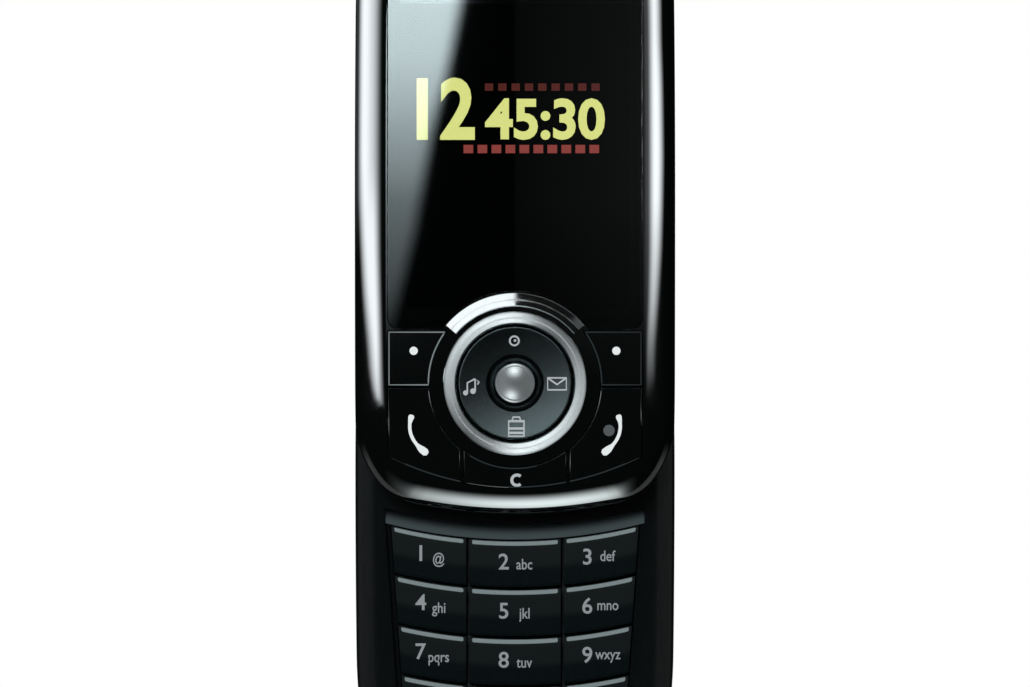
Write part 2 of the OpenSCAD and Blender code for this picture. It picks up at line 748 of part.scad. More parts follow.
// The concave lip that falls from the base's face to the keypad's recess
scoop_l = 2;
module scoop() {
    across = 16;
    drops = 4;
    steepest = 60;
    w = 2 * (keypad_half(panel_top_y) + panel_margin);
    skin([for (i = [0:across]) let (x = w * (i / across - 0.5), y = panel_top_y + row_curve(x)) concat(
        [[x, y - eps, panel_z + 2], [x, y - eps, panel_z]],
        [for (k = [1:drops]) let (a = steepest * k / drops)
            [x, y + scoop_l * sin(a) / sin(steepest),
                panel_z + recess_d * (1 - cos(a)) / (1 - cos(steepest))]],
        [[x, y + scoop_l, panel_z + 2]])]);
}

module base_front_cover() {
    color([0.04, 0.04, 0.045]) difference() {
        union() {
            difference() {
                lofted(base_outline, base_face_levels);
                prism(base_outline, wall, split_base_z - 1, cavity_top_z);
            }
            for (at = base_bosses) post(base_boss_r, split_base_z + 0.75, cavity_top_z + eps, at);
        }
        translate([0, 0, panel_z]) linear_extrude(2) panel_shape(0);
        scoop();
        translate([0, 0, cavity_top_z - 1]) linear_extrude(3) keys_opening(key_clear);
        for (at = base_bosses) post(screw_r, split_base_z - 1, cavity_top_z + 0.4, at);
        for (at = guide_holes) post(screw_r, cavity_top_z - 1, base_top_z + 1, at);
        block([flex_w + 0.6, 1.2, 4], [flex_x, flex_base_y, cavity_top_z - 1]);
        translate([-half_w, volume_y, 0]) side_slot(volume_l);
        translate([half_w, camera_key_y, 0]) side_slot(camera_key_l);
        block([socket_w, 8, socket_h + 0.2], [0, -half_l + 2, main_board_top - 0.1]);
        post(0.5, panel_z - 3, panel_z + 3, mic_at);
    }
}

module side_slot(length) {
    block([6, length + 2 * key_clear, side_key_h + 2 * key_clear], [0, 0, side_key_z - side_key_h / 2 - key_clear]);
}

module base_rear_cover() {
    bay_top = cover_t + 0.15 + battery_t + 0.15;
    color([0.05, 0.05, 0.055]) difference() {
        lofted(base_outline, base_back_levels);
        prism(base_outline, wall, bay_top + 0.45, split_base_z + 1);
        block([body_w + 2, door_end_y + half_l + 1 + 0.1, cover_t + 0.1 + 1],
            [0, (door_end_y + 0.1 - half_l - 1) / 2, -1]);
        plate([cell_w + 0.6, battery_l + 0.6, 4], 1.2, [0, battery_y, bay_top - 4]);
        for (at = base_bosses) {
            post(screw_r + 0.1, -1, split_base_z + 1, at);
            post(head_r + 0.15, -1, screw_seat_z, at);
        }
        for (x = [-1, 1], y = tongue_ys)
            block([1.6, tongue_l + cover_travel + 0.8, 1.4], [x * tongue_x, y - cover_travel / 2, cover_t]);
        for (i = [-3:3]) plate([0.9, 5, 3], 0.44, [i * 1.9, speaker_y, -1]);
        plate([14, 11, 6], 0.5, [0, speaker_y, speaker_z]);
    }
}

// ---- Base: number keys ----
number_key_top = base_top_z - 0.2;
strip_w = 0.85;
strip_drop = 0.18;
key_slope = 4.2;
number_foot_z = cavity_top_z - 0.45;
main_board_top = board_z + board_t;
number_plunger_z = main_board_top + dome_h + key_travel + press_gap;

function column_x0(col) = col == 0 ? -mid_w / 2 : (col > 0 ? mid_w / 2 + key_gap
    : -mid_w / 2 - key_gap - side_w);
function column_w(col) = col == 0 ? mid_w : side_w;
function column_mid(col) = column_x0(col) + column_w(col) / 2;
function column_turn(col) = asin(column_mid(col) / row_curve_r);
function key_mid_y(row, col) = row_y(row) - row_depth / 2 + row_curve(column_mid(col));

// Left and right end of a column on the curve that starts at y
function column_ends(col, y) = let (inner = mid_w / 2 + key_gap, outer = keypad_half(y))
    col == 0 ? [-mid_w / 2, mid_w / 2] : (col > 0 ? [inner, outer] : [-outer, -inner]);

module key_shape(row, col) {
    low = row_y(row) - row_depth;
    curved_band(low, column_ends(col, low), row_y(row), column_ends(col, row_y(row)), 6);
}

module keys_opening(grow) {
    foot = row_y(rows - 1) - row_depth;
    low = keypad_half(foot) + grow;
    high = keypad_half(first_row_y) + grow;
    curved_band(foot - grow, [-low, low], first_row_y + grow, [-high, high]);
}

// A number key: a bright ridge along its upper edge, then a face that falls away below it
module number_key(row, col) {
    mid = [column_mid(col), key_mid_y(row, col)];
    big = 30;
    color([0.06, 0.065, 0.07]) {
        difference() {
            translate([0, 0, number_foot_z])
                linear_extrude(number_key_top - number_foot_z) key_shape(row, col);
            translate([mid.x, mid.y + row_depth / 2 - strip_w, number_key_top - strip_drop])
                rotate([0, 0, column_turn(col)]) rotate([key_slope, 0, 0])
                    translate([-big / 2, -big, 0]) cube([big, big, 5]);
        }
        post(1.3, number_plunger_z, number_foot_z + eps, mid);
    }
}

module keypad_mat() {
    mat_clear = 0.3;
    z = number_foot_z - key_travel - press_gap - mat_t;
    color([0.55, 0.55, 0.58]) difference() {
        translate([0, 0, main_board_top]) linear_extrude(z + mat_t - main_board_top) panel_shape(0);
        translate([0, 0, main_board_top - 1]) linear_extrude(z - main_board_top + 1) difference() {
            panel_shape(-0.9);
            for (x = [-1, 1]) translate([x * (mid_w + key_gap) / 2 - 0.4, -half_l]) square([0.8, 60]);
        }
        for (row = [0:rows - 1], col = [-1:1])
            post(1.3 + mat_clear, main_board_top, z + mat_t + 1, [column_mid(col), key_mid_y(row, col)]);
        for (at = base_bosses) post(base_boss_r + mat_clear, main_board_top - 1, z + mat_t + 1, at);
        post(mic_r + mat_clear, main_board_top - 1, z + mat_t + 1, mic_at);
    }
}

module number_domes() {
    color([0.8, 0.8, 0.78]) for (row = [0:rows - 1], col = [-1:1])
        dome([column_mid(col), key_mid_y(row, col)], main_board_top);
}

module key_1() { number_key(0, -1); }
module key_2() { number_key(0, 0); }
module key_3() { number_key(0, 1); }
module key_4() { number_key(1, -1); }
module key_5() { number_key(1, 0); }
module key_6() { number_key(1, 1); }
module key_7() { number_key(2, -1); }
module key_8() { number_key(2, 0); }
module key_9() { number_key(2, 1); }
module key_star() { number_key(3, -1); }
module key_0() { number_key(3, 0); }
module key_hash() { number_key(3, 1); }

// ---- Base: inner parts ----
door_end_y = 22;
cell_w = min(battery_w, 2 * (base_boss_x - head_r - 0.15 - 0.6));
battery_y = door_end_y - 4 - battery_l / 2;
screw_seat_z = 3.2;
tongue_ys = [-34, -4];
tongue_l = 3;
tongue_x = cell_w / 2 + 1.9;

module main_board() {
    color([0.05, 0.32, 0.16]) difference() {
        prism(base_outline, wall + 0.4, board_z, main_board_top);
        for (at = base_bosses) post(base_boss_r + 0.3, board_z - 1, main_board_top + 1, at);
        block([15, 20, 3], [0, speaker_y + 4, board_z - 1]);
    }
}

module battery() {
    z = cover_t + 0.15;
    color([0.25, 0.3, 0.42]) difference() {
        plate([cell_w, battery_l, battery_t], 1, [0, battery_y, z]);
        for (i = [-1:1]) block([2, 1.2, 1], [i * 3.4, battery_y - battery_l / 2, z + battery_t - 0.9]);
    }
}

module battery_cover() {
    grip_y = 10;
    color([0.05, 0.05, 0.055]) {
        difference() {
            lofted(base_outline, base_back_levels);
            block([body_w + 2, half_l * 2, 10], [0, door_end_y + half_l, -1]);
            block([body_w + 2, body_l + 2, 10], [0, 0, cover_t]);
            for (i = [-2:2]) translate([abs(i) - 5, grip_y + i * 1.5, -0.1]) rotate([0, 90, 0])
                cylinder(r = 0.32, h = 10 - 2 * abs(i), $fn = 24);
        }
        for (x = [-1, 1], y = tongue_ys)
            block([1.2, tongue_l, 1.1], [x * tongue_x, y, cover_t - eps]);
    }
}

module base_screws() {
    color([0.5, 0.5, 0.52]) for (at = base_bosses)
        translate([at.x, at.y, screw_seat_z]) mirror([0, 0, 1]) screw(0.7, 3.9);
}

// ---- Base: side keys ----
side_key_h = 1.5;
side_key_z = 6.95;
volume_l = 14;
key_flange_l = 0.7;                   // the flange stands out this far past each end of a side key
volume_y = base_bosses[2].y - base_boss_r - 0.6 - volume_l / 2 - key_flange_l;
camera_key_y = 20;
camera_key_l = 8;
side_proud = 0.3;
side_flange = 0.5;
rock_room = 0.3;                      // between a side key's flange and the wall
// Inner end of a side key's body: its flange clears the bowed wall over its whole length
function side_key_inner(y, length) = side_x(y + length / 2 + key_flange_l) - wall - rock_room;

module side_key(y, length, side) {
    outer = side_x(y) + side_proud;
    inner = side_key_inner(y, length);
    color([0.6, 0.61, 0.63]) {
        difference() {
            translate([side > 0 ? inner : -outer, y, side_key_z]) rotate([0, 90, 0])
                linear_extrude(outer - inner) rounded(side_key_h, length, 0.9);
            if (side < 0) block([0.5, 0.4, side_key_h + 2], [-outer, y, side_key_z - side_key_h]);
        }
        translate([side * (inner - side_flange / 2 + eps), y, side_key_z]) rotate([0, 90, 0])
            translate([0, 0, -side_flange / 2]) linear_extrude(side_flange) rounded(side_key_h + 0.2, length + 2 * key_flange_l, 0.5);
    }
}

module volume_key() {
    side_key(volume_y, volume_l, -1);
}

module camera_key() {
    side_key(camera_key_y, camera_key_l, 1);
}

switch_w = 1.6;
switch_gap = 0.38;
function switch_x(y, length) = side_key_inner(y, length) - side_flange - switch_gap - switch_w / 2;
module side_switches() {
    color([0.7, 0.7, 0.68]) {
        for (dy = [-4.6, 4.6]) block([switch_w, 2.6, 1.5], [-switch_x(volume_y, volume_l), volume_y + dy, main_board_top]);
        block([switch_w, 2.6, 1.5], [switch_x(camera_key_y, camera_key_l), camera_key_y, main_board_top]);
    }
}

module data_socket() {
    depth = 5.2;
    shell = 0.25;
    y = -half_l + 1.2 + depth / 2;
    color([0.7, 0.71, 0.73]) {
        difference() {
            block([socket_w - 0.3, depth, socket_h], [0, y, main_board_top]);
            block([socket_w - 0.3 - 2 * shell, depth, socket_h - 2 * shell], [0, y - 0.6, main_board_top + shell]);
        }
        block([socket_w - 2.4, depth - 1.2, 0.5], [0, y + 0.3, main_board_top + socket_h / 2 - 0.25]);
    }
}

module microphone() {
    color([0.6, 0.6, 0.62]) post(mic_r, main_board_top, main_board_top + 1.2, mic_at);
}

module loudspeaker() {
    color([0.2, 0.2, 0.22]) plate([13.4, 10.4, 3.2], 1, [0, speaker_y, speaker_z]);
}

module vibration_motor() {
    motor_y = half_l - 24.5;
    color([0.75, 0.75, 0.77]) {
        translate([-15, motor_y - 5, main_board_top + 0.95]) rotate([-90, 0, 0]) cylinder(r = 0.9, h = 7);
        translate([-15, motor_y + 2.6, main_board_top + 0.95]) rotate([-90, 0, 0]) cylinder(r = 0.9, h = 1.4);
        translate([-15, motor_y + 1, main_board_top + 0.95]) rotate([-90, 0, 0]) cylinder(r = 0.25, h = 2);
    }
}

antenna_w = body_w - 16.2;
antenna_l = 7;
module antenna() {
    color([0.8, 0.78, 0.7]) difference() {
        block([antenna_w, antenna_l, 1.2], [0, half_l - 11, main_board_top + 0.05]);
        block([antenna_w - 12, antenna_l - 3, 3], [0, half_l - 9.4, main_board_top - 1]);
    }
}

slide_front_cover();
display_window();
nav_crescent();
nav_bezel();
earpiece_grille();
earpiece();
display_panel();
display_frame();
slide_board();
slide_domes();
slide_rear_cover();
camera_bezel();
camera_lens();
camera_module();
moving_plate();
slide_screws();
left_soft_key();
right_soft_key();
call_key();
end_key();
clear_key();
nav_pad();
nav_key();
select_key();
base_front_cover();
key_1();
key_2();
key_3();
key_4();
key_5();
key_6();
key_7();
key_8();
key_9();
key_star();
key_0();
key_hash();
keypad_mat();
number_domes();
main_board();
base_rear_cover();
base_screws();
battery();
battery_cover();
guide_plate();
guide_screws();
slide_spring();
flex_cable();
volume_key();
camera_key();
data_socket();
microphone();
loudspeaker();
vibration_motor();
antenna();
side_switches();
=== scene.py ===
import bpy
import math
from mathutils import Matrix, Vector


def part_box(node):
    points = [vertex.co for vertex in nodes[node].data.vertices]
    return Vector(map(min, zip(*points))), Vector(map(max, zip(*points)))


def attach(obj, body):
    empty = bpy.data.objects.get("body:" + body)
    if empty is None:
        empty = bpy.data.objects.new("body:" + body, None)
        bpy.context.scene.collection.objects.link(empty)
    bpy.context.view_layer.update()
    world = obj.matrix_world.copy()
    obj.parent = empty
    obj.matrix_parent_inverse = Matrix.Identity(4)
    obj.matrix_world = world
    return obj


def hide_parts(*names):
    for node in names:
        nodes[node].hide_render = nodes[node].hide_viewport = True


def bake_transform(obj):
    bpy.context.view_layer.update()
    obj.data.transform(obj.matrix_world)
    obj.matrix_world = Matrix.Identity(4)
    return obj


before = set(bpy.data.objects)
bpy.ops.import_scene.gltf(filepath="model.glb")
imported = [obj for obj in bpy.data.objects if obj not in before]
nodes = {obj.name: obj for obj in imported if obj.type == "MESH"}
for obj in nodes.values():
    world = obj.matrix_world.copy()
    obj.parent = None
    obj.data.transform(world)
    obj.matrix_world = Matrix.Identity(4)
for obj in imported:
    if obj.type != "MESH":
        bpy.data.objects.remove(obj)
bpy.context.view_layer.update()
mm = 0.001
print("frame loaded")

# sizes shared with the solids, in mm
phone = {
    "halfWidth": 24.1, "halfLength": 48.0, "travel": 41.0, "wall": 2.0,
    "baseTop": 9.6, "split": 5.5, "tray": 11.9, "slideTop": 17.1,
    "baseBow": 545.0, "slideHighBow": 700.0, "slideLowBow": 2400.0,
    "endBow": 74.0, "cornerWidth": 8.0, "cornerLength": 9.8, "straight": 0.25,
}
slideMid = phone["travel"]
chinY = slideMid - phone["halfLength"]
navY = chinY + 19.75
windowY = chinY + 27.8 + 27.5
pictureY = windowY - 1.4


def linear(channel):
    return channel / 12.92 if channel <= 0.04045 else ((channel + 0.055) / 1.055) ** 2.4


def colour(code):
    return tuple(linear(int(code[i:i + 2], 16) / 255) for i in (0, 2, 4)) + (1.0,)


def smooth(low, high, value):
    t = min(1.0, max(0.0, (value - low) / (high - low)))
    return t * t * (3 - 2 * t)


def mix(a, b, t):
    return a + (b - a) * t


# materials

def newMaterial(name):
    material = bpy.data.materials.new(name)
    material.use_nodes = True
    tree = material.node_tree
    tree.nodes.clear()
    out = tree.nodes.new("ShaderNodeOutputMaterial")
    return material, tree, out


def noiseRange(tree, scale, low, high, detail=3.0):
    coords = tree.nodes.new("ShaderNodeTexCoord")
    noise = tree.nodes.new("ShaderNodeTexNoise")
    noise.inputs["Scale"].default_value = scale
    noise.inputs["Detail"].default_value = detail
    tree.links.new(coords.outputs["Object"], noise.inputs["Vector"])
    spread = tree.nodes.new("ShaderNodeMapRange")
    spread.inputs["To Min"].default_value = low
    spread.inputs["To Max"].default_value = high
    tree.links.new(noise.outputs["Fac"], spread.inputs["Value"])
    return noise, spread


def finish(name, code, roughness, metallic=0.0, ior=1.5, specular=0.5, grain=900.0, bump=0.0,
           uneven=0.15):
    material, tree, out = newMaterial(name)
    shader = tree.nodes.new("ShaderNodeBsdfPrincipled")
    shader.inputs["Metallic"].default_value = metallic
    shader.inputs["IOR"].default_value = ior
    shader.inputs["Specular IOR Level"].default_value = specular
    noise, spread = noiseRange(tree, grain, roughness * (1 - uneven), roughness * (1 + uneven))
    tree.links.new(spread.outputs["Result"], shader.inputs["Roughness"])
    tint = tree.nodes.new("ShaderNodeMix")
    tint.data_type = "RGBA"
    base = colour(code)
    tint.inputs["A"].default_value = tuple(c * (1 - uneven * 0.5) for c in base[:3]) + (1.0,)
    tint.inputs["B"].default_value = tuple(min(1.0, c * (1 + uneven * 0.5)) for c in base[:3]) + (1.0,)
    tree.links.new(noise.outputs["Fac"], tint.inputs["Factor"])
    tree.links.new(tint.outputs["Result"], shader.inputs["Base Color"])
    if bump:
        relief = tree.nodes.new("ShaderNodeBump")
        relief.inputs["Strength"].default_value = 1.0
        relief.inputs["Distance"].default_value = bump * mm
        tree.links.new(noise.outputs["Fac"], relief.inputs["Height"])
        tree.links.new(relief.outputs["Normal"], shader.inputs["Normal"])
    tree.links.new(shader.outputs["BSDF"], out.inputs["Surface"])
    return material


def glowing(name, code, strength):
    material, tree, out = newMaterial(name)
    noise, spread = noiseRange(tree, 2500.0, strength * 0.92, strength * 1.08)
    shader = tree.nodes.new("ShaderNodeEmission")
    shader.inputs["Color"].default_value = colour(code)
    tree.links.new(spread.outputs["Result"], shader.inputs["Strength"])
    tree.links.new(shader.outputs["Emission"], out.inputs["Surface"])
    return material


def clearSheet(name, tintCode, roughness, ior):
    material, tree, out = newMaterial(name)
    noise, spread = noiseRange(tree, 60.0, roughness * 0.8, roughness * 1.2)
    through = tree.nodes.new("ShaderNodeBsdfTransparent")
    through.inputs["Color"].default_value = colour(tintCode)
    gloss = tree.nodes.new("ShaderNodeBsdfGlossy")
    tree.links.new(spread.outputs["Result"], gloss.inputs["Roughness"])
    edge = tree.nodes.new("ShaderNodeFresnel")
    edge.inputs["IOR"].default_value = ior
    facing = tree.nodes.new("ShaderNodeNewGeometry")
    front = tree.nodes.new("ShaderNodeMath")
    front.operation = "SUBTRACT"
    front.inputs[0].default_value = 1.0
    outer = tree.nodes.new("ShaderNodeMath")  # a sheet mirrors on the side that light enters
    outer.operation = "MULTIPLY"
    blend = tree.nodes.new("ShaderNodeMixShader")
    tree.links.new(facing.outputs["Backfacing"], front.inputs[1])
    tree.links.new(edge.outputs["Fac"], outer.inputs[0])
    tree.links.new(front.outputs["Value"], outer.inputs[1])
    tree.links.new(outer.outputs["Value"], blend.inputs["Fac"])
    tree.links.new(through.outputs["BSDF"], blend.inputs[1])
    tree.links.new(gloss.outputs["BSDF"], blend.inputs[2])
    tree.links.new(blend.outputs["Shader"], out.inputs["Surface"])
    return material


look = {
    "lacquer": finish("pianoLacquer", "050707", 0.035, ior=2.3, grain=120.0),  # slide's glossy face
    "keyGloss": finish("keyGloss", "060808", 0.06, ior=1.6, grain=300.0),      # slide's keys
    "rim": finish("satinBlack", "080b0c", 0.3, ior=1.6, grain=1500.0),         # base's covers
    "back": finish("softBlack", "15181a", 0.5, grain=2500.0, bump=0.01),       # both backs
    "numberKey": finish("numberKeyBlack", "060c0e", 0.26, ior=1.55, grain=900.0),
    "ridge": finish("ridgeSteel", "8f9799", 0.3, metallic=1.0, grain=1800.0),  # number keys' edges
    "ring": finish("satinChrome", "b4b9bb", 0.15, metallic=1.0, grain=700.0, uneven=0.06),
    "crescent": finish("brightChrome", "c9cdcf", 0.07, metallic=1.0, grain=500.0),
    "dish": finish("darkAnodised", "6a7578", 0.2, metallic=1.0, grain=1400.0),
    "dome": finish("domeChrome", "aeb4b6", 0.12, metallic=1.0, grain=500.0),
    "window": clearSheet("smokedWindow", "dfe4e6", 0.012, 1.8),
    "legend": finish("legendGrey", "8f9699", 0.5, grain=3000.0),               # number keys' legends
    "print": finish("printedGrey", "b4babd", 0.5, grain=3000.0),               # pictograms
    "dullPrint": finish("dullGrey", "54595c", 0.5, grain=3000.0),
    "whitePrint": finish("printedWhite", "e8eeee", 0.5, grain=3000.0),
    "lip": finish("lipGrey", "4a5153", 0.34, metallic=1.0, grain=1200.0),      # above the keys
    # painted highlights: flat grey for the light caught along the function keys' edges, and a darker grey
    # copy for the edges that lie in shade
    "paintedEdgeHighlight": finish("paintedEdgeHighlight", "7d8688", 0.4, grain=2000.0),
    "paintedShadedEdgeHighlight": finish("paintedShadedEdgeHighlight", "2c3234", 0.4, grain=2000.0),
    "mask": finish("maskBlack", "030404", 0.7, specular=0.05, grain=2000.0),   # behind the window's border
    "lcd": finish("liquidCrystal", "020303", 0.2, grain=400.0),
    "clock": glowing("clockYellow", "f4f08e", 1.5),
    "bars": glowing("barRed", "b8544c", 1.0),
    "dimBars": glowing("dimRed", "7c3a34", 0.8),
    "plate": finish("sheetSteel", "a9adb0", 0.28, metallic=1.0, grain=1200.0),
    "screw": finish("screwSteel", "8e9294", 0.3, metallic=1.0, grain=2000.0),
    "board": finish("solderMask", "16402c", 0.35, grain=500.0),
    "rubber": finish("siliconeRubber", "4c5052", 0.6, grain=700.0),
    "moulding": finish("mouldedBlack", "1c1e20", 0.45, grain=1500.0),
    "wrap": finish("batteryWrap", "39425a", 0.4, grain=200.0),
    "film": finish("amberFilm", "b4691f", 0.35, grain=300.0),
    "lens": finish("lensGlass", "0a1020", 0.05, ior=1.8, grain=100.0),
    "trim": finish("satinAluminium", "a4a8aa", 0.25, metallic=1.0, grain=1500.0),
}
print("materials ready")

# mesh helpers: points in mm, objects stay at the origin

def addMesh(name, points, faces, material, smoothShaded=True, sharpAngle=38.0):
    mesh = bpy.data.meshes.new(name)
    mesh.from_pydata([(x * mm, y * mm, z * mm) for x, y, z in points], [], faces)
    mesh.validate()
    mesh.materials.append(material)
    for polygon in mesh.polygons:
        polygon.use_smooth = smoothShaded
    if smoothShaded:
        mesh.set_sharp_from_angle(angle=math.radians(sharpAngle))
    piece = bpy.data.objects.new(name, mesh)
    bpy.context.scene.collection.objects.link(piece)
    return piece


def ringFaces(rings, closed=True):
    count = len(rings[0])
    span = count if closed else count - 1
    faces = []
    for r in range(len(rings) - 1):
        for i in range(span):
            a, b = r * count + i, r * count + (i + 1) % count
            faces.append((a, b, b + count, a + count))
    return faces


def loft(name, rings, material, capped=True, sharpAngle=38.0):
    points = [p for ring in rings for p in ring]
    faces = ringFaces(rings)
    if capped:
        count = len(rings[0])
        last = (len(rings) - 1) * count
        faces.append(tuple(reversed(range(count))))
        faces.append(tuple(range(last, last + count)))
    piece = addMesh(name, points, faces, material, sharpAngle=sharpAngle)
    if capped:
        for polygon in piece.data.polygons:
            if len(polygon.vertices) > 4:
                polygon.use_smooth = False  # flat faces shade exactly flat
    return piece


def solid(name, outline, z0, z1, material):
    return loft(name, [[(x, y, z0) for x, y in outline], [(x, y, z1) for x, y in outline]], material)


def inward(outline, amount):
    result = []
    count = len(outline)
    for i, (x, y) in enumerate(outline):
        px, py = outline[i - 1]
        nx, ny = outline[(i + 1) % count]
        ax, ay = x - px, y - py
        bx, by = nx - x, ny - y
        la, lb = math.hypot(ax, ay) or 1.0, math.hypot(bx, by) or 1.0
        n1 = (-ay / la, ax / la)
        n2 = (-by / lb, bx / lb)
        mx, my = n1[0] + n2[0], n1[1] + n2[1]
        scale = amount * 2 / max(0.5, mx * mx + my * my)
        result.append((x + mx * scale, y + my * scale))
    return result


def capPiece(name, outline, z0, z1, edge, material):
    steps = 4
    rings = [[(x, y, z0) for x, y in outline]]
    for i in range(steps + 1):
        a = math.radians(90 * i / steps)
        ring = inward(outline, edge * (1 - math.cos(a)))
        rings.append([(x, y, z1 - edge * (1 - math.sin(a))) for x, y in ring])
    return loft(name, rings, material, sharpAngle=50.0)


def arc(cx, cy, radius, fromDeg, toDeg, count):
    return [(cx + radius * math.cos(math.radians(mix(fromDeg, toDeg, i / count))),
             cy + radius * math.sin(math.radians(mix(fromDeg, toDeg, i / count))))
            for i in range(count + 1)]


def roundedBox(width, length, corner, cx, cy, count=8):
    points = []
    for sx, sy, start in ((1, 1, 0), (-1, 1, 90), (-1, -1, 180), (1, -1, 270)):
        points += arc(cx + sx * (width / 2 - corner), cy + sy * (length / 2 - corner), corner,
                      start, start + 90, count)
    return points


def cutAway(piece, cutters):
    for cutter in cutters:
        cut = piece.modifiers.new("cut", "BOOLEAN")
        cut.operation = "DIFFERENCE"
        cut.solver = "EXACT"
        cut.object = cutter
    graph = bpy.context.evaluated_depsgraph_get()
    mesh = bpy.data.meshes.new_from_object(piece.evaluated_get(graph))
    piece.modifiers.clear()
    piece.data = mesh
    for cutter in cutters:
        bpy.data.objects.remove(cutter)
    mesh.set_sharp_from_angle(angle=math.radians(38))


# outline of a half, as in the solids

def endY(x, turn):
    p = phone
    return p["halfLength"] - x * x / (2 * p["endBow"]) - p["cornerLength"] * (1 - math.cos(turn))


def sideBow(y, radius, kept):
    return y * y / (2 * radius) * mix(kept, 1.0, smooth(28, 46, abs(y)))  # kept: share of the arc's bow


def quarter(bowRadius, kept, endSteps=20, cornerSteps=28, sideSteps=24):
    p = phone
    halfWidth = p["halfWidth"]
    cornerX = halfWidth - p["cornerWidth"]
    cornerTop = endY(halfWidth, 0) - p["cornerLength"]
    points = [(cornerX * i / endSteps, endY(cornerX * i / endSteps, 0)) for i in range(endSteps)]
    for i in range(cornerSteps + 1):
        turn = math.pi / 2 * i / cornerSteps
        x = cornerX + p["cornerWidth"] * math.sin(turn)
        y = endY(x, turn)
        points.append((x - sideBow(y, bowRadius, kept) * (x / halfWidth) ** 2, y))
    for i in range(1, sideSteps + 1):
        y = cornerTop * (1 - i / sideSteps)
        points.append((halfWidth - sideBow(y, bowRadius, kept), y))
    return points


def wholeOutline(lowRadius, highRadius, highKept):
    low = [(x, -y) for x, y in quarter(lowRadius, phone["straight"])]
    side = low + quarter(highRadius, highKept)[-2::-1]
    return side + [(-x, y) for x, y in side[-2:0:-1]]


def insetRing(outline, inset, z, midY=0.0):
    sx = 1 - inset / phone["halfWidth"]
    sy = 1 - inset / phone["halfLength"]
    return [(x * sx, y * sy + midY, z) for x, y in outline]


def wallOutline(outline, midY=0.0):
    return [(x, y) for x, y, z in insetRing(outline, phone["wall"], 0, midY)]


slideOutline = wholeOutline(phone["slideLowBow"], phone["slideHighBow"], phone["straight"])
baseOutline = wholeOutline(phone["baseBow"], phone["baseBow"], 1.0)
print("outlines ready")

# slide's front cover: a flat glossy face with wide rounded edges

face = {
    "roundWidth": 4.7, "roundHeight": 4.1, "steps": 30, "wall": 1.5,
    "windowWidth": 38.2, "windowLength": 55.0, "windowCorner": 1.8, "windowDrop": 1.05,
    "windowGap": 0.1, "windowSink": 0.05, "windowEdge": 0.06,
    "lcdWidth": 34.4, "lcdLength": 45.6, "lcdCorner": 0.5, "collar": 13.65,
    "ringSeat": 10.9, "ringDepth": 0.8, "keyHole": 8.8, "crescentGap": 0.05, "crescentDepth": 0.4,
    "earWidth": 10.1, "earHeight": 1.9, "earCorner": 0.94, "earDepth": 0.6, "earY": 80.0,
}
slideTop = phone["slideTop"]
faceInner = slideTop - face["wall"]


def windowOutline(grow):
    w, l = face["windowWidth"] / 2 + grow, face["windowLength"] / 2 + grow
    radius = face["collar"] + 0.15 - grow
    corner = face["windowCorner"] + grow
    footAngle = math.degrees(math.asin(min(1.0, (windowY - l - navY) / radius)))
    points = arc(w - corner, windowY + l - corner, corner, 0, 90, 8)
    points += arc(-w + corner, windowY + l - corner, corner, 90, 180, 8)
    points += arc(-w + corner, windowY - l + corner, corner, 180, 270, 8)
    if windowY - l < navY + radius:
        points += arc(0, navY, radius, 180 - footAngle, footAngle, 40)
    return points + arc(w - corner, windowY - l + corner, corner, 270, 360, 8)


def softOutline(side, grow=0.0):
    k = functionKeys
    radius = k["clusterRadius"] - grow
    low, high = k["mid"] + k["line"] / 2 - grow, k["top"] + grow
    inner = arc(0, navY, radius, math.degrees(math.asin(high / radius)),
                math.degrees(math.asin(low / radius)), 16)
    outer = k["halfWidth"] + grow
    points = inner + [(outer, navY + low), (outer, navY + high)]
    return points if side > 0 else [(-x, y) for x, y in reversed(points)]


def footY(x):
    k = functionKeys
    return navY - k["foot"] + k["chinCurve"] * x * x


def callOutline(side, grow=0.0):
    k = functionKeys
    radius = k["clusterRadius"] - grow
    x0, x1 = k["innerX"] - grow, k["halfWidth"] + grow
    top = k["mid"] - k["line"] / 2 + grow
    points = [(mix(x0, x1, i / 20), footY(mix(x0, x1, i / 20)) - grow) for i in range(21)]
    points.append((x1, navY + top))
    points += arc(0, navY, radius, math.degrees(math.asin(top / radius)),
                  -math.degrees(math.acos(x0 / radius)), 20)
    return points if side > 0 else [(-x, y) for x, y in reversed(points)]


def clearOutline(grow=0.0):
    k = functionKeys
    half = k["clearHalf"] + grow
    radius = k["clearRadius"] - grow
    edge = math.degrees(math.acos(half / radius))
    points = [(mix(-half, half, i / 20), footY(mix(-half, half, i / 20)) - grow) for i in range(21)]
    return points + arc(0, navY, radius, -edge, edge - 180, 24)


functionKeys = {
    "halfWidth": 19.0, "top": 7.75, "mid": -0.55, "line": 0.4, "clusterRadius": 12.9,
    "clearRadius": 12.7, "foot": 15.7, "chinCurve": 0.0128, "innerX": 8.2, "clearHalf": 7.7,
    "clearance": 0.15, "proud": 0.12, "edge": 0.14, "footZ": faceInner - 0.11,
}


def discSolid(name, radius, z0, z1, material):
    return solid(name, arc(0, navY, radius, 0, 360, 96)[:-1], z0, z1, material)


def crescentOutline(grow, count=60):
    r1 = crescent["outer"] + grow
    r0 = crescent["outer"] - crescent["width"] - grow
    shift = math.degrees(grow / crescent["outer"])
    a0, a1 = 90 - crescent["span"] - shift, 90 + crescent["span"] + shift
    return arc(0, navY, r1, a0, a1, count) + arc(0, navY, r0, a1, a0, count)


crescent = {"outer": 13.5, "width": 2.0, "span": 50.0, "rise": 0.45}


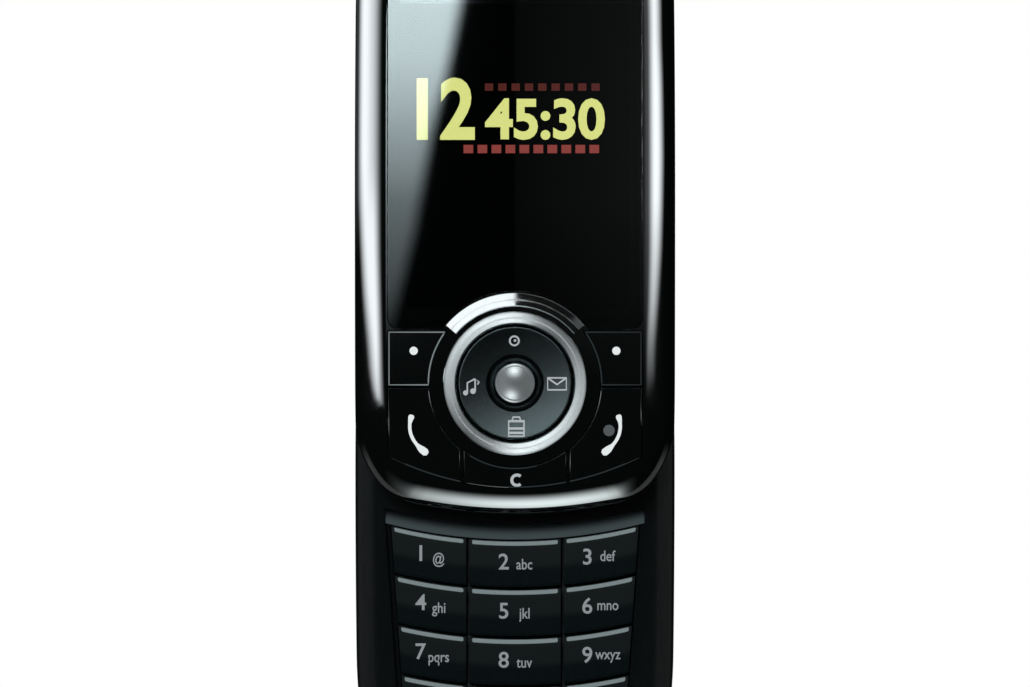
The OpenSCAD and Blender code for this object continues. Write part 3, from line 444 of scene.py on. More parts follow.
def buildSlideFace():
    tray = phone["tray"]
    rings = [insetRing(slideOutline, 0, tray, slideMid)]
    for i in range(face["steps"] + 1):
        a = math.pi / 2 * (1 - (1 - i / face["steps"]) ** 1.7)
        rings.append(insetRing(slideOutline, face["roundWidth"] * (1 - math.cos(a)),
                               slideTop - face["roundHeight"] * (1 - math.sin(a)), slideMid))
    cover = loft("slideFace", rings, look["lacquer"])
    gloss = look["lacquer"]
    gap = functionKeys["clearance"]
    deep, above = faceInner - 1, slideTop + 1
    cutters = [solid("cut", wallOutline(slideOutline, slideMid), tray - 1, faceInner, gloss),
               solid("cut", windowOutline(face["windowGap"]), slideTop - face["windowDrop"], above, gloss),
               solid("cut", roundedBox(face["lcdWidth"], face["lcdLength"], face["lcdCorner"], 0, pictureY),
                     deep, slideTop, gloss),
               solid("cut", clearOutline(gap), deep, above, gloss),
               discSolid("cut", face["ringSeat"], slideTop - face["ringDepth"], above, gloss),
               discSolid("cut", face["keyHole"], deep, slideTop, gloss),
               solid("cut", crescentOutline(face["crescentGap"]), slideTop - face["crescentDepth"],
                     above, gloss),
               solid("cut", roundedBox(face["earWidth"], face["earHeight"], face["earCorner"], 0,
                                       face["earY"]), slideTop - face["earDepth"], above, gloss)]
    for side in (-1, 1):
        cutters.append(solid("cut", softOutline(side, gap), deep, above, gloss))
        cutters.append(solid("cut", callOutline(side, gap), deep, above, gloss))
    cutAway(cover, cutters)
    cover.data.materials.append(look["mask"])
    seat = (slideTop - face["windowDrop"]) * mm
    for polygon in cover.data.polygons:
        if abs(polygon.center.z - seat) < 0.01 * mm and polygon.normal.z > 0.9:
            polygon.material_index = 1
    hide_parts("slide_front_cover")
    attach(cover, "slide")
    return cover


slideFace = buildSlideFace()
print("slide face", len(slideFace.data.polygons))


def buildWindow():
    steps, edge = 3, face["windowEdge"]
    rings = [[(x, y, slideTop - face["windowDrop"]) for x, y in windowOutline(0)]]
    for i in range(steps + 1):
        a = math.radians(90 * i / steps)
        ring = inward(windowOutline(0), edge * (1 - math.cos(a)))
        rings.append([(x, y, slideTop - face["windowSink"] - edge * (1 - math.sin(a))) for x, y in ring])
    pane = loft("windowPane", rings, look["window"])
    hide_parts("display_window")
    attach(pane, "slide")


buildWindow()


def buildFunctionKeys():
    k = functionKeys
    outlines = {"left_soft_key": softOutline(-1), "right_soft_key": softOutline(1),
                "call_key": callOutline(-1), "end_key": callOutline(1), "clear_key": clearOutline()}
    for name, outline in outlines.items():
        key = capPiece("cap_" + name, outline, k["footZ"], slideTop + k["proud"], k["edge"],
                       look["keyGloss"])
        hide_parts(name)
        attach(key, name)


buildFunctionKeys()
print("window and function keys")

# navigation cluster, turned pieces

def lathe(name, profile, material, count=128, sharpAngle=30.0):
    points = []
    for radius, z in profile:
        for i in range(count):
            a = 2 * math.pi * i / count
            points.append((radius * math.cos(a), navY + radius * math.sin(a), z))
    faces = []
    for r in range(len(profile)):
        here, there = r * count, (r + 1) % len(profile) * count
        for i in range(count):
            j = (i + 1) % count
            faces.append((here + i, here + j, there + j, there + i))
    return addMesh(name, points, faces, material, sharpAngle=sharpAngle)


navRing = {"outer": 10.8, "width": 2.2, "rise": 0.5, "seat": 0.78, "steps": 24, "bevel": 0.22,
           "bevelFoot": 0.62}
navDish = {"outer": 8.45, "top": slideTop + 0.2, "sink": 0.16, "dishRadius": 90.0, "holeRadius": 3.25,
           "wellRadius": 4.3, "wellDepth": 0.9, "wellEdge": 0.06, "skirt": 14.6, "edge": 0.1}
selectDome = {"radius": 3.05, "crownRadius": 2.45, "skirtZ": slideTop - 0.35, "rise": 0.75,
              "crownRise": 0.5, "foot": 14.6, "steps": 24, "shoulderTurn": 65, "shoulderDrop": 0.1}


def crownProfile(innerRadius, width, rise, floorZ, topZ, steps):
    crown = (width * width / 4 + rise * rise) / (2 * rise)
    centre = innerRadius + width / 2
    reach = math.asin(width / 2 / crown)
    profile = [(innerRadius, floorZ), (innerRadius + width, floorZ)]
    for i in range(steps + 1):
        a = mix(reach, -reach, i / steps)
        profile.append((centre + crown * math.sin(a), topZ + rise - crown + crown * math.cos(a)))
    return profile


def buildRing():
    r = navRing
    inner = r["outer"] - r["width"]
    profile = crownProfile(inner + r["bevel"], r["width"] - r["bevel"], r["rise"], slideTop - r["seat"],
                           slideTop, r["steps"])
    profile[0] = (inner, slideTop - r["seat"])
    profile.append((inner, slideTop - r["bevelFoot"]))  # steep bevel towards the four-way key
    ring = lathe("brightRing", profile, look["ring"], sharpAngle=28)
    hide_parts("nav_bezel")
    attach(ring, "slide")


def buildCrescent():
    c = crescent
    inner = c["outer"] - c["width"]
    count = 96
    profile = crownProfile(inner, c["width"], c["rise"], slideTop - 0.35, slideTop, 16)
    rings = []
    for i in range(count + 1):
        a = math.radians(mix(90 - c["span"], 90 + c["span"], i / count))
        rings.append([(radius * math.cos(a), navY + radius * math.sin(a), z) for radius, z in profile])
    piece = loft("crescentTrim", rings, look["crescent"], sharpAngle=28)
    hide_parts("nav_crescent")
    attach(piece, "slide")


def dishZ(radius):
    d = navDish
    return d["top"] - d["sink"] + d["dishRadius"] - math.sqrt(d["dishRadius"] ** 2 - radius * radius)


def buildNavKey():
    d = navDish
    outer, edge = d["outer"], d["edge"]
    profile = [(d["holeRadius"], d["skirt"]), (outer, d["skirt"])]
    rim = dishZ(outer - edge)
    for i in range(5):
        a = math.radians(90 * i / 4)
        profile.append((outer - edge * (1 - math.cos(a)), rim - edge * (1 - math.sin(a))))
    for i in range(1, 25):
        radius = mix(outer - edge, d["wellRadius"] + d["wellEdge"], i / 24)
        profile.append((radius, dishZ(radius)))
    profile.append((d["wellRadius"] - d["wellEdge"] / 2, dishZ(d["wellRadius"]) - d["wellEdge"]))
    profile.append((d["holeRadius"], d["top"] - d["wellDepth"]))
    key = lathe("navDish", profile, look["dish"], sharpAngle=28)
    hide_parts("nav_key")
    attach(key, "nav_key")


def buildSelect():
    s = selectDome
    crown = (s["crownRadius"] ** 2 + s["crownRise"] ** 2) / (2 * s["crownRise"])
    reach = math.asin(s["crownRadius"] / crown)
    shoulder = s["radius"] - s["crownRadius"]
    shoulderZ = s["skirtZ"] + s["rise"] - s["crownRise"]
    profile = [(0.02, s["foot"]), (s["radius"], s["foot"])]
    turn = math.radians(s["shoulderTurn"])
    for i in range(9):
        a = turn * (1 - i / 8)
        drop = (1 - math.cos(a)) * (shoulderZ - s["skirtZ"] + s["shoulderDrop"])
        profile.append((s["crownRadius"] + shoulder * math.sin(a) / math.sin(turn), shoulderZ - drop))
    for i in range(1, s["steps"] + 1):
        a = reach * (1 - i / s["steps"])
        profile.append((max(0.02, crown * math.sin(a)),
                        shoulderZ + s["crownRise"] - crown + crown * math.cos(a)))
    key = lathe("selectDome", profile, look["dome"], count=96, sharpAngle=40)
    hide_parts("select_key")
    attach(key, "select_key")


buildRing()
buildCrescent()
buildNavKey()
buildSelect()
print("navigation cluster")

# number keys: a bright ridge strip, then a face that falls away below it

keypad = {
    "midWidth": 13.9, "sideWidth": 11.4, "gap": 0.35, "taper": 0.07, "pitch": 7.4, "depth": 7.05,
    "curve": 78.0, "top": phone["baseTop"] - 0.2, "strip": 0.85, "drop": 0.18, "slope": 4.2,
    "foot": 7.45, "firstRow": chinY - 3.6 - 0.45, "panelTop": chinY - 3.6, "edge": 0.12,
    "ridgeInset": 0.4,
}
keypad["width"] = keypad["midWidth"] + 2 * (keypad["sideWidth"] + keypad["gap"])
keyNames = ["1", "2", "3", "4", "5", "6", "7", "8", "9", "star", "0", "hash"]


def rowCurve(x):
    return keypad["curve"] - math.sqrt(keypad["curve"] ** 2 - x * x)


def keypadHalf(y):
    return keypad["width"] / 2 - keypad["taper"] * (keypad["firstRow"] - y)


def columnEnds(col, y):
    half = keypad["midWidth"] / 2
    if col == 0:
        return -half, half
    inner, outer = half + keypad["gap"], keypadHalf(y)
    return (inner, outer) if col > 0 else (-outer, -inner)


def rowLine(row):
    return keypad["firstRow"] - row * keypad["pitch"]


def rowTop(row, x):
    return rowLine(row) + rowCurve(x)


def keyFaceZ(down):
    k = keypad
    lip, fall = math.tan(math.radians(k["slope"] * 0.5)), math.tan(math.radians(k["slope"] * 1.5))
    bend = k["depth"] * 0.58
    drop = max(0.0, min(down, bend) - k["strip"]) * lip + max(0.0, down - bend) * fall
    return k["top"] - k["drop"] - drop


def keySection(squeeze):
    k = keypad
    edge = k["edge"]
    section = [(squeeze, k["foot"]), (squeeze, k["top"] - k["drop"] - squeeze)]
    low = k["depth"] - edge - squeeze
    for i in range(15):
        down = mix(k["strip"] * 0.5, low, i / 14)
        section.append((down, keyFaceZ(down) - squeeze))
    foot = section[-1][1]
    for i in range(1, 4):
        a = math.radians(30 * i)
        section.append((low + edge * math.sin(a), foot - edge * (1 - math.cos(a))))
    section.append((k["depth"] - squeeze, k["foot"]))
    return section


def keyPoint(row, col, along, down):
    line = rowLine(row) - down
    x0, x1 = columnEnds(col, line)
    x = mix(x0, x1, along)
    return x, line + rowCurve(x)


def keyStations(width, edge, count):
    ends = [(0, edge), (edge * 0.13, edge * 0.5), (edge * 0.5, edge * 0.13)]
    middle = [(mix(edge, width - edge, i / count), 0) for i in range(count + 1)]
    return ends + middle + [(width - place, squeeze) for place, squeeze in reversed(ends)]


def buildNumberKey(index):
    row, col = divmod(index, 3)
    col -= 1
    k = keypad
    node = "key_" + keyNames[index]
    x0, x1 = columnEnds(col, rowLine(row))
    width = x1 - x0
    rings = []
    for place, squeeze in keyStations(width, 0.1, 20):
        rings.append([keyPoint(row, col, place / width, down) + (z,) for down, z in keySection(squeeze)])
    key = loft("face_" + node, rings, look["numberKey"], sharpAngle=45)
    base = k["top"] - k["drop"] - 0.12
    ridgeRings = []
    for place, squeeze in keyStations(width - 2 * k["ridgeInset"], 0.3, 24):
        top = k["top"] - squeeze * 0.3
        up, low = 0.02 + squeeze * 0.6, k["strip"] - squeeze * 0.6
        section = [(up, base), (up, top - 0.1), (up + 0.08, top - 0.02), (up + 0.18, top),
                   (low - 0.2, top), (low - 0.06, top - 0.04), (low, top - 0.12), (low, base)]
        along = (place + k["ridgeInset"]) / width
        ridgeRings.append([keyPoint(row, col, along, down) + (z,) for down, z in section])
    ridge = loft("ridge_" + node, ridgeRings, look["ridge"], sharpAngle=45)
    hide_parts(node)
    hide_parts(node)
    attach(key, node)
    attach(ridge, node)


for index in range(len(keyNames)):
    buildNumberKey(index)
print("number keys")

# base covers

baseFace = {
    "cavityTop": 7.9, "panelZ": 8.7, "margin": 0.9, "panelBottom": -41.15, "scoop": 2.0,
    "scoopRise": 0.9, "steepest": 60.0, "keyGap": 0.15, "sideKeyZ": 6.95, "sideKeyHeight": 1.8,
    "slotDepth": 6, "slotCorner": 0.1, "socketWidth": 11, "socketLength": 8, "socketCorner": 0.5,
    "socketInset": 2, "socketHeight": 2, "socketZ": 5.9, "micX": 15.5, "micDrop": 1.2, "micRadius": 0.5,
    "slots": [(-1, 24.0, 14.3), (1, 20.0, 8.3)],   # side, place and length, volume key then camera key
    "crown": [(0, 7.0), (0.22, 7.9), (0.75, 8.65), (1.55, 9.18), (2.5, 9.5), (3.2, 9.6)],  # inset, height
}


def curvedBand(bottomY, bottomHalf, topY, topHalf, count=40):
    points = []
    for y, start, end in ((bottomY, -bottomHalf, bottomHalf), (topY, topHalf, -topHalf)):
        for i in range(count + 1):
            x = mix(start, end, i / count)
            points.append((x, y + rowCurve(x)))
    return points


def scoopPoint(x, y, turn):
    b = baseFace
    top = math.radians(b["steepest"])
    return (x, y + b["scoop"] * math.sin(turn) / math.sin(top),
            b["panelZ"] + b["scoopRise"] * (1 - math.cos(turn)) / (1 - math.cos(top)))


def scoopSolid():
    b = baseFace
    rings = []
    drops = 16
    half = keypadHalf(keypad["panelTop"]) + b["margin"]
    for i in range(41):
        x = mix(-half, half, i / 40)
        y = keypad["panelTop"] + rowCurve(x)
        ring = [(x, y - 0.01, b["panelZ"] + 2), (x, y - 0.01, b["panelZ"])]
        for step in range(1, drops + 1):
            ring.append(scoopPoint(x, y, math.radians(b["steepest"] * step / drops)))
        ring.append((x, y + b["scoop"], b["panelZ"] + 2))
        rings.append(ring)
    return loft("cut", rings, look["rim"])


def smoothLevels(samples, count):
    result = []
    last = len(samples) - 1
    for i in range(count * last + 1):
        u = i / count
        j = min(int(u), last - 1)
        t = u - j
        p0, p1, p2, p3 = (samples[max(0, min(last, j + o))] for o in (-1, 0, 1, 2))
        inset, height = (0.5 * (2 * b + (c - a) * t + (2 * a - 5 * b + 4 * c - d) * t * t
                                + (3 * b - a - 3 * c + d) * t ** 3) for a, b, c, d in zip(p0, p1, p2, p3))
        result.append((max(0.0, inset), min(phone["baseTop"], max(0.0, height))))
    return result


def buildBaseFace():
    k, b, rim = keypad, baseFace, look["rim"]
    rings = [insetRing(baseOutline, 0, phone["split"])]
    rings += [insetRing(baseOutline, inset, z) for inset, z in smoothLevels(b["crown"], 6)]
    cover = loft("baseFace", rings, rim)
    gap, above = b["keyGap"], b["panelZ"] + 2
    foot = rowLine(3) - k["depth"]
    opening = curvedBand(foot - gap, keypadHalf(foot) + gap,
                         k["firstRow"] + gap, keypadHalf(k["firstRow"]) + gap)
    recess = curvedBand(b["panelBottom"], keypadHalf(b["panelBottom"]) + b["margin"],
                        k["panelTop"], keypadHalf(k["panelTop"]) + b["margin"])
    socket = roundedBox(b["socketWidth"], b["socketLength"], b["socketCorner"], 0,
                        b["socketInset"] - phone["halfLength"])
    micY = b["panelBottom"] - b["micDrop"] + rowCurve(b["micX"])
    cutters = [solid("cut", wallOutline(baseOutline), phone["split"] - 1, b["cavityTop"], rim),
               solid("cut", recess, b["panelZ"], above, rim),
               scoopSolid(),
               solid("cut", opening, b["cavityTop"] - 1, above, rim),
               solid("cut", socket, b["socketZ"], b["socketZ"] + b["socketHeight"], rim),
               solid("cut", arc(b["micX"], micY, b["micRadius"], 0, 360, 24)[:-1],
                     b["cavityTop"] - 1, b["panelZ"] + 3, rim)]
    for side, y, length in b["slots"]:
        low = b["sideKeyZ"] - b["sideKeyHeight"] / 2
        slot = roundedBox(b["slotDepth"], length, b["slotCorner"], side * phone["halfWidth"], y)
        cutters.append(solid("cut", slot, low, low + b["sideKeyHeight"], rim))
    cutAway(cover, cutters)
    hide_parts("base_front_cover")
    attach(cover, "base")


keypadLip = {"flat": 0.26, "above": 0.03, "thickness": 0.02, "inset": 0.1, "reach": 0.96,
             "stations": 60, "steps": 16}


def buildLip():
    b, p = baseFace, keypadLip
    half = keypadHalf(keypad["panelTop"]) + b["margin"] - p["inset"]
    rings = []
    for i in range(p["stations"] + 1):
        x = mix(-half, half, i / p["stations"])
        y = keypad["panelTop"] + rowCurve(x)
        curve = [(x, y - p["flat"], b["panelZ"] + p["above"])]
        for step in range(p["steps"] + 1):
            px, py, pz = scoopPoint(x, y, math.radians(b["steepest"]) * step / p["steps"] * p["reach"])
            curve.append((px, py, pz + p["above"]))
        under = [(px, py, pz - p["thickness"]) for px, py, pz in reversed(curve)]
        rings.append(curve + under)
    lip = loft("keypadLip", rings, look["lip"])
    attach(lip, "base")


buildBaseFace()
buildLip()
print("base face")

# printed marks and painted highlights: flat ribbons and text laid just above a surface

def addMark(name, points, faces, heightAt, material, body):
    lifted = [(x, y, heightAt(x, y)) for x, y in points]
    piece = addMesh(name, lifted, faces, material, smoothShaded=False)
    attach(piece, body)


def ribbon(path, width, closed=False):
    widths = width if isinstance(width, list) else [width] * len(path)
    count = len(path)
    points, faces = [], []
    for i, (x, y) in enumerate(path):
        px, py = path[i - 1] if closed or i > 0 else path[i]
        nx, ny = path[(i + 1) % count] if closed or i < count - 1 else path[i]
        dx, dy = nx - px, ny - py
        length = math.hypot(dx, dy) or 1.0
        ox, oy = -dy / length * widths[i] / 2, dx / length * widths[i] / 2
        points += [(x + ox, y + oy), (x - ox, y - oy)]
    for i in range(count if closed else count - 1):
        a, b = 2 * i, 2 * ((i + 1) % count)
        faces.append((a, a + 1, b + 1, b))
    return points, faces


def joined(parts):
    points, faces = [], []
    for somePoints, someFaces in parts:
        start = len(points)
        points += somePoints
        faces += [tuple(i + start for i in face) for face in someFaces]
    return points, faces


def disc(cx, cy, radius, count=32):
    return arc(cx, cy, radius, 0, 360, count)[:-1], [tuple(range(count))]


def glyphMesh(text, thicken=0.0):
    curve = bpy.data.curves.new("lettering", "FONT")
    curve.body = text
    curve.size = 1.0
    curve.offset = thicken
    curve.resolution_u = 4
    holder = bpy.data.objects.new("lettering", curve)
    bpy.context.scene.collection.objects.link(holder)
    mesh = bpy.data.meshes.new_from_object(holder.evaluated_get(bpy.context.evaluated_depsgraph_get()))
    points = [(v.co.x, v.co.y) for v in mesh.vertices]
    faces = [tuple(p.vertices) for p in mesh.polygons]
    bpy.data.objects.remove(holder)
    bpy.data.meshes.remove(mesh)
    return points, faces


capitalHeight = max(y for x, y in glyphMesh("H")[0])


def lettering(text, height, cx, cy, stretch=1.0, thicken=0.0):
    points, faces = glyphMesh(text, thicken)
    scale = height / capitalHeight
    midX = (max(x for x, y in points) + min(x for x, y in points)) / 2
    return [(cx + (x - midX) * scale * stretch, cy - height / 2 + y * scale) for x, y in points], faces


# number keys' legends

legend = {
    "digitHeight": 2.3, "letterHeight": 1.55, "down": 3.15, "lift": 0.02,
    "digitX": (-14.2, -1.7, 10.9), "letterX": (-11.5, 1.4, 14.0),
    "letters": ["@", "abc", "def", "ghi", "jkl", "mno", "pqrs", "tuv", "wxyz", "", "+", ""],
    "digits": ["1", "2", "3", "4", "5", "6", "7", "8", "9", "*", "0", "#"],
}


def buildLegend(index):
    row, col = divmod(index, 3)
    k = keypad
    text, letters = legend["digits"][index], legend["letters"][index]
    digitX, letterX = legend["digitX"][col], legend["letterX"][col]

    def centreY(x):
        return rowTop(row, x) - legend["down"]

    def heightAt(x, y):
        return keyFaceZ(rowTop(row, x) - y) + legend["lift"]

    parts = [lettering(text, legend["digitHeight"], digitX, centreY(digitX), thicken=0.012)]
    if letters:
        tall = legend["letterHeight"]
        baseline = centreY(letterX) - (legend["digitHeight"] - tall) / 2
        parts.append(lettering(letters, tall, letterX, baseline, 0.8, 0.01))
    points, faces = joined(parts)
    addMark("legend_key_" + keyNames[index], points, faces, heightAt, look["legend"],
            "key_" + keyNames[index])


for index in range(len(keyNames)):
    buildLegend(index)
print("legends")

# pictograms and painted edge highlights on the slide's keys

signs = {
    "keyLift": slideTop + functionKeys["proud"] + 0.012, "dishLift": 0.015,
    "ringAt": (-0.1, 6.35), "noteAt": (-6.4, -0.4), "mailAt": (6.3, -0.1), "pageAt": (0.2, -6.6),
    "clearAt": (0.3, -14.55), "powerAt": (14.1, -7.1), "dotY": 4.85, "dotX": 15.2,
}


def onKey(x, y):
    return signs["keyLift"]


def onDish(x, y):
    return dishZ(math.hypot(x, y - navY)) + signs["dishLift"]


def moved(path, at):
    return [(x + at[0], y + at[1] + navY) for x, y in path]


def buildDishSigns():
    ringPath = moved(arc(0, 0, 0.68, 0, 360, 28)[:-1], signs["ringAt"])
    dot = disc(signs["ringAt"][0] + 0.1, navY + signs["ringAt"][1] + 0.05, 0.2, 12)
    addMark("signRing", *joined([ribbon(ringPath, 0.26, True), dot]), onDish, look["print"], "nav_key")
    stem = moved([(0.42, -0.75), (0.42, 1.05), (1.0, 0.55), (0.75, 0.2)], signs["noteAt"])
    beam = moved([(-0.75, -0.95), (-0.75, 0.45), (0.42, 1.05)], signs["noteAt"])
    headA = disc(signs["noteAt"][0] + 0.1, navY + signs["noteAt"][1] - 0.8, 0.42, 16)
    headB = disc(signs["noteAt"][0] - 1.02, navY + signs["noteAt"][1] - 1.05, 0.38, 16)
    addMark("signNote", *joined([ribbon(stem, 0.24), ribbon(beam, 0.24), headA, headB]), onDish,
            look["print"], "nav_key")
    box = moved([(-1.4, -0.9), (1.4, -0.9), (1.4, 0.9), (-1.4, 0.9)], signs["mailAt"])
    flap = moved([(-1.35, 0.85), (0, -0.1), (1.35, 0.85)], signs["mailAt"])
    addMark("signMail", *joined([ribbon(box, 0.26, True), ribbon(flap, 0.26)]), onDish, look["print"],
            "nav_key")
    page = moved([(-1.15, -1.35), (1.15, -1.35), (1.15, 0.95), (-1.15, 0.95)], signs["pageAt"])
    lines = [ribbon(moved([(-1.05, y), (1.05, y)], signs["pageAt"]), 0.34) for y in (0.9, -0.85, -0.2)]
    lid = ribbon(moved([(-0.6, 1.1), (-0.5, 1.5), (0.5, 1.5), (0.6, 1.1)], signs["pageAt"]), 0.24)
    addMark("signPage", *joined([ribbon(page, 0.28, True), lid] + lines), onDish, look["print"], "nav_key")


def handset(side):
    a, b, c = (15.45, -4.75), (16.75, -8.2), (13.1, -10.6)
    count = 24
    path, widths = [], []
    for i in range(count + 1):
        t = i / count
        x = (1 - t) ** 2 * a[0] + 2 * t * (1 - t) * b[0] + t * t * c[0]
        y = (1 - t) ** 2 * a[1] + 2 * t * (1 - t) * b[1] + t * t * c[1]
        path.append((side * x, navY + y))
        ends = max(1 - smooth(0.0, 0.22, t), smooth(0.7, 0.9, t))
        widths.append(0.5 + (0.6 if t > 0.5 else 0.45) * ends)
    widths[0] = widths[-1] = 0.55
    return ribbon(path, widths)


def buildKeySigns():
    for side, key in ((-1, "left_soft_key"), (1, "right_soft_key")):
        points, faces = disc(side * signs["dotX"], navY + signs["dotY"], 0.62)
        addMark("dot_" + key, points, faces, onKey, look["whitePrint"], key)
    addMark("signCall", *handset(-1), onKey, look["whitePrint"], "call_key")
    addMark("signEnd", *handset(1), onKey, look["whitePrint"], "end_key")
    powerX, powerY = signs["powerAt"]
    addMark("signPower", *disc(powerX, navY + powerY, 0.85), onKey, look["dullPrint"], "end_key")
    clearPath = moved(arc(0, 0, 0.78, 48, 312, 28), signs["clearAt"])
    addMark("signClear", *ribbon(clearPath, 0.44), onKey, look["print"], "clear_key")


# painted highlights: grey ribbons along the soft, call, end and clear keys' edges stand in for the light
# their bevels catch, brighter on the left soft key and dimmer where the edges lie in shade
def buildPaintedEdgeHighlights():
    k = functionKeys
    inset = 0.1
    for side, key in ((-1, "left_soft_key"), (1, "right_soft_key")):
        points, faces = ribbon(inward(softOutline(side), inset), 0.2, True)
        addMark("paintedHighlight_" + key, points, faces, onKey,
                look["paintedEdgeHighlight"] if side < 0 else look["paintedShadedEdgeHighlight"], key)
    for side, key in ((-1, "call_key"), (1, "end_key")):
        foot = [(side * x, footY(x) + inset) for x in (mix(k["innerX"], 16.5, i / 12) for i in range(13))]
        addMark("paintedHighlight_" + key, *ribbon(foot, 0.2), onKey, look["paintedShadedEdgeHighlight"], key)
    low = [(x, footY(x) + inset) for x in (mix(-1.0, k["clearHalf"], i / 12) for i in range(13))]
    high = arc(0, navY, k["clearRadius"] + inset, 238, 285, 16)
    addMark("paintedHighlight_clear_key", *joined([ribbon(low, 0.18), ribbon(high, 0.18)]), onKey, look["paintedShadedEdgeHighlight"],
            "clear_key")


buildDishSigns()
buildKeySigns()
buildPaintedEdgeHighlights()
print("pictograms")

# the lit picture: a clock and rows of small bars

screen = {"z": 15.52, "bigAt": (-10.4, 53.9), "bigHeight": 8.5,
          "smallAt": (4.5, 52.4), "smallHeight": 5.6}


def onScreen(x, y):
    return screen["z"]


def barRow(name, count, pitch, width, height, startX, y, material):
    tree = bpy.data.node_groups.new(name + "Tree", "GeometryNodeTree")
    tree.interface.new_socket("Count", in_out="INPUT", socket_type="NodeSocketInt")
    tree.interface.new_socket("Pitch", in_out="INPUT", socket_type="NodeSocketFloat")
    tree.interface.new_socket("Geometry", in_out="OUTPUT", socket_type="NodeSocketGeometry")
    given = tree.nodes.new("NodeGroupInput")
    result = tree.nodes.new("NodeGroupOutput")
    spread = tree.nodes.new("ShaderNodeCombineXYZ")
    line = tree.nodes.new("GeometryNodeMeshLine")
    line.inputs["Start Location"].default_value = (startX * mm, y * mm, screen["z"] * mm)
    bar = tree.nodes.new("GeometryNodeMeshGrid")
    bar.inputs["Size X"].default_value = width * mm
    bar.inputs["Size Y"].default_value = height * mm
    bar.inputs["Vertices X"].default_value = 2
    bar.inputs["Vertices Y"].default_value = 2
    copies = tree.nodes.new("GeometryNodeInstanceOnPoints")
    real = tree.nodes.new("GeometryNodeRealizeInstances")
    paint = tree.nodes.new("GeometryNodeSetMaterial")
    paint.inputs["Material"].default_value = material
    tree.links.new(given.outputs["Pitch"], spread.inputs["X"])
    tree.links.new(spread.outputs["Vector"], line.inputs["Offset"])
    tree.links.new(given.outputs["Count"], line.inputs["Count"])
    tree.links.new(line.outputs["Mesh"], copies.inputs["Points"])
    tree.links.new(bar.outputs["Mesh"], copies.inputs["Instance"])
    tree.links.new(copies.outputs["Instances"], real.inputs["Geometry"])
    tree.links.new(real.outputs["Geometry"], paint.inputs["Geometry"])
    tree.links.new(paint.outputs["Geometry"], result.inputs["Geometry"])
    mesh = bpy.data.meshes.new(name)
    piece = bpy.data.objects.new(name, mesh)
    bpy.context.scene.collection.objects.link(piece)
    modifier = piece.modifiers.new("bars", "NODES")
    modifier.node_group = tree
    sockets = {item.name: item.identifier for item in tree.interface.items_tree if item.in_out == "INPUT"}
    modifier[sockets["Count"]] = count
    modifier[sockets["Pitch"]] = pitch * mm
    graph = bpy.context.evaluated_depsgraph_get()
    finished = bpy.data.meshes.new_from_object(piece.evaluated_get(graph))
    piece.modifiers.remove(modifier)
    piece.data = finished
    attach(piece, "slide")


def buildScreen():
    big = lettering("12", screen["bigHeight"], *screen["bigAt"], 0.85, 0.03)
    small = lettering("45:30", screen["smallHeight"], *screen["smallAt"], 0.98, 0.03)
    addMark("clockFigures", *joined([big, small]), onScreen, look["clock"], "slide")
    barRow("upperBars", 9, 2.0, 1.25, 1.1, -3.9, 57.2, look["dimBars"])
    barRow("lowerBars", 10, 2.1, 1.45, 1.25, -7.0, 47.9, look["bars"])


buildScreen()
print("screen")

# the flat cable: two halves that meet at its turn

flatCable = {"thickness": 0.12, "lowZ": 10.1, "turnRadius": 0.31, "baseInset": 3.5, "steps": 24}


def cableRings(path, midX, width):
    rings = []
    for i, (y, z) in enumerate(path):
        sides = []
        for a, b in ((path[i - 1], path[i]) if i else (path[0], path[1]),
                     (path[i], path[i + 1]) if i + 1 < len(path) else (path[-2], path[-1])):
            length = math.dist(a, b)
            sides.append(((a[1] - b[1]) / length, (b[0] - a[0]) / length))
        (ay, az), (by, bz) = sides
        half = flatCable["thickness"] / 2 / (1 + ay * by + az * bz)
        dy, dz = (ay + by) * half, (az + bz) * half
        rings.append([(midX - width / 2, y - dy, z - dz), (midX + width / 2, y - dy, z - dz),
                      (midX + width / 2, y + dy, z + dz), (midX - width / 2, y + dy, z + dz)])
    return rings


def buildCable():
    low, high = [[value / mm for value in corner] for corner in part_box("flex_cable")]
    midX, width = (low[0] + high[0]) / 2, high[0] - low[0]
    edge, radius = flatCable["thickness"] / 2, flatCable["turnRadius"]
    turnY, turnZ = low[1] + edge + radius, flatCable["lowZ"] + radius
    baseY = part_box("guide_plate")[1][1] / mm - flatCable["baseInset"]
    slideY = high[1] - edge
    for name, endY, endZ, side in (("cableBaseHalf", baseY, low[2], -1),
                                   ("cableSlideHalf", slideY, high[2], 1)):
        runZ = turnZ + side * radius
        path = [(turnY - radius * math.cos(t), turnZ + side * radius * math.sin(t))
                for t in map(math.radians, range(0, 90, 15))]
        path += [(mix(turnY, endY, i / flatCable["steps"]), runZ) for i in range(flatCable["steps"] + 1)]
        path.append((endY, endZ))
        piece = loft(name, cableRings(path, midX, width), look["film"])
        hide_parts("flex_cable")
        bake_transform(piece)


buildCable()
print("flat cable")

# the nodes that keep their solid's mesh, by finish

carried = {
    "back": ["slide_rear_cover", "base_rear_cover", "battery_cover"],
    "trim": ["camera_bezel", "earpiece_grille", "volume_key", "camera_key"],
    "lens": ["camera_lens"],
    "moulding": ["earpiece", "camera_module", "nav_pad", "loudspeaker"],
    "lcd": ["display_panel"],
    "plate": ["display_frame", "moving_plate", "guide_plate", "vibration_motor", "data_socket",
              "microphone", "slide_spring", "slide_domes", "number_domes", "side_switches"],
    "screw": ["slide_screws", "base_screws", "guide_screws"],
    "board": ["slide_board", "main_board"],
    "rubber": ["keypad_mat"],
    "wrap": ["battery"],
    "film": ["antenna"],
}
for materialName, names in carried.items():
    for name in names:
        data = nodes[name].data
        data.materials.clear()
        data.materials.append(look[materialName])
print("carried nodes", sum(len(names) for names in carried.values()))

# camera: straight above the slide's face, its top end up

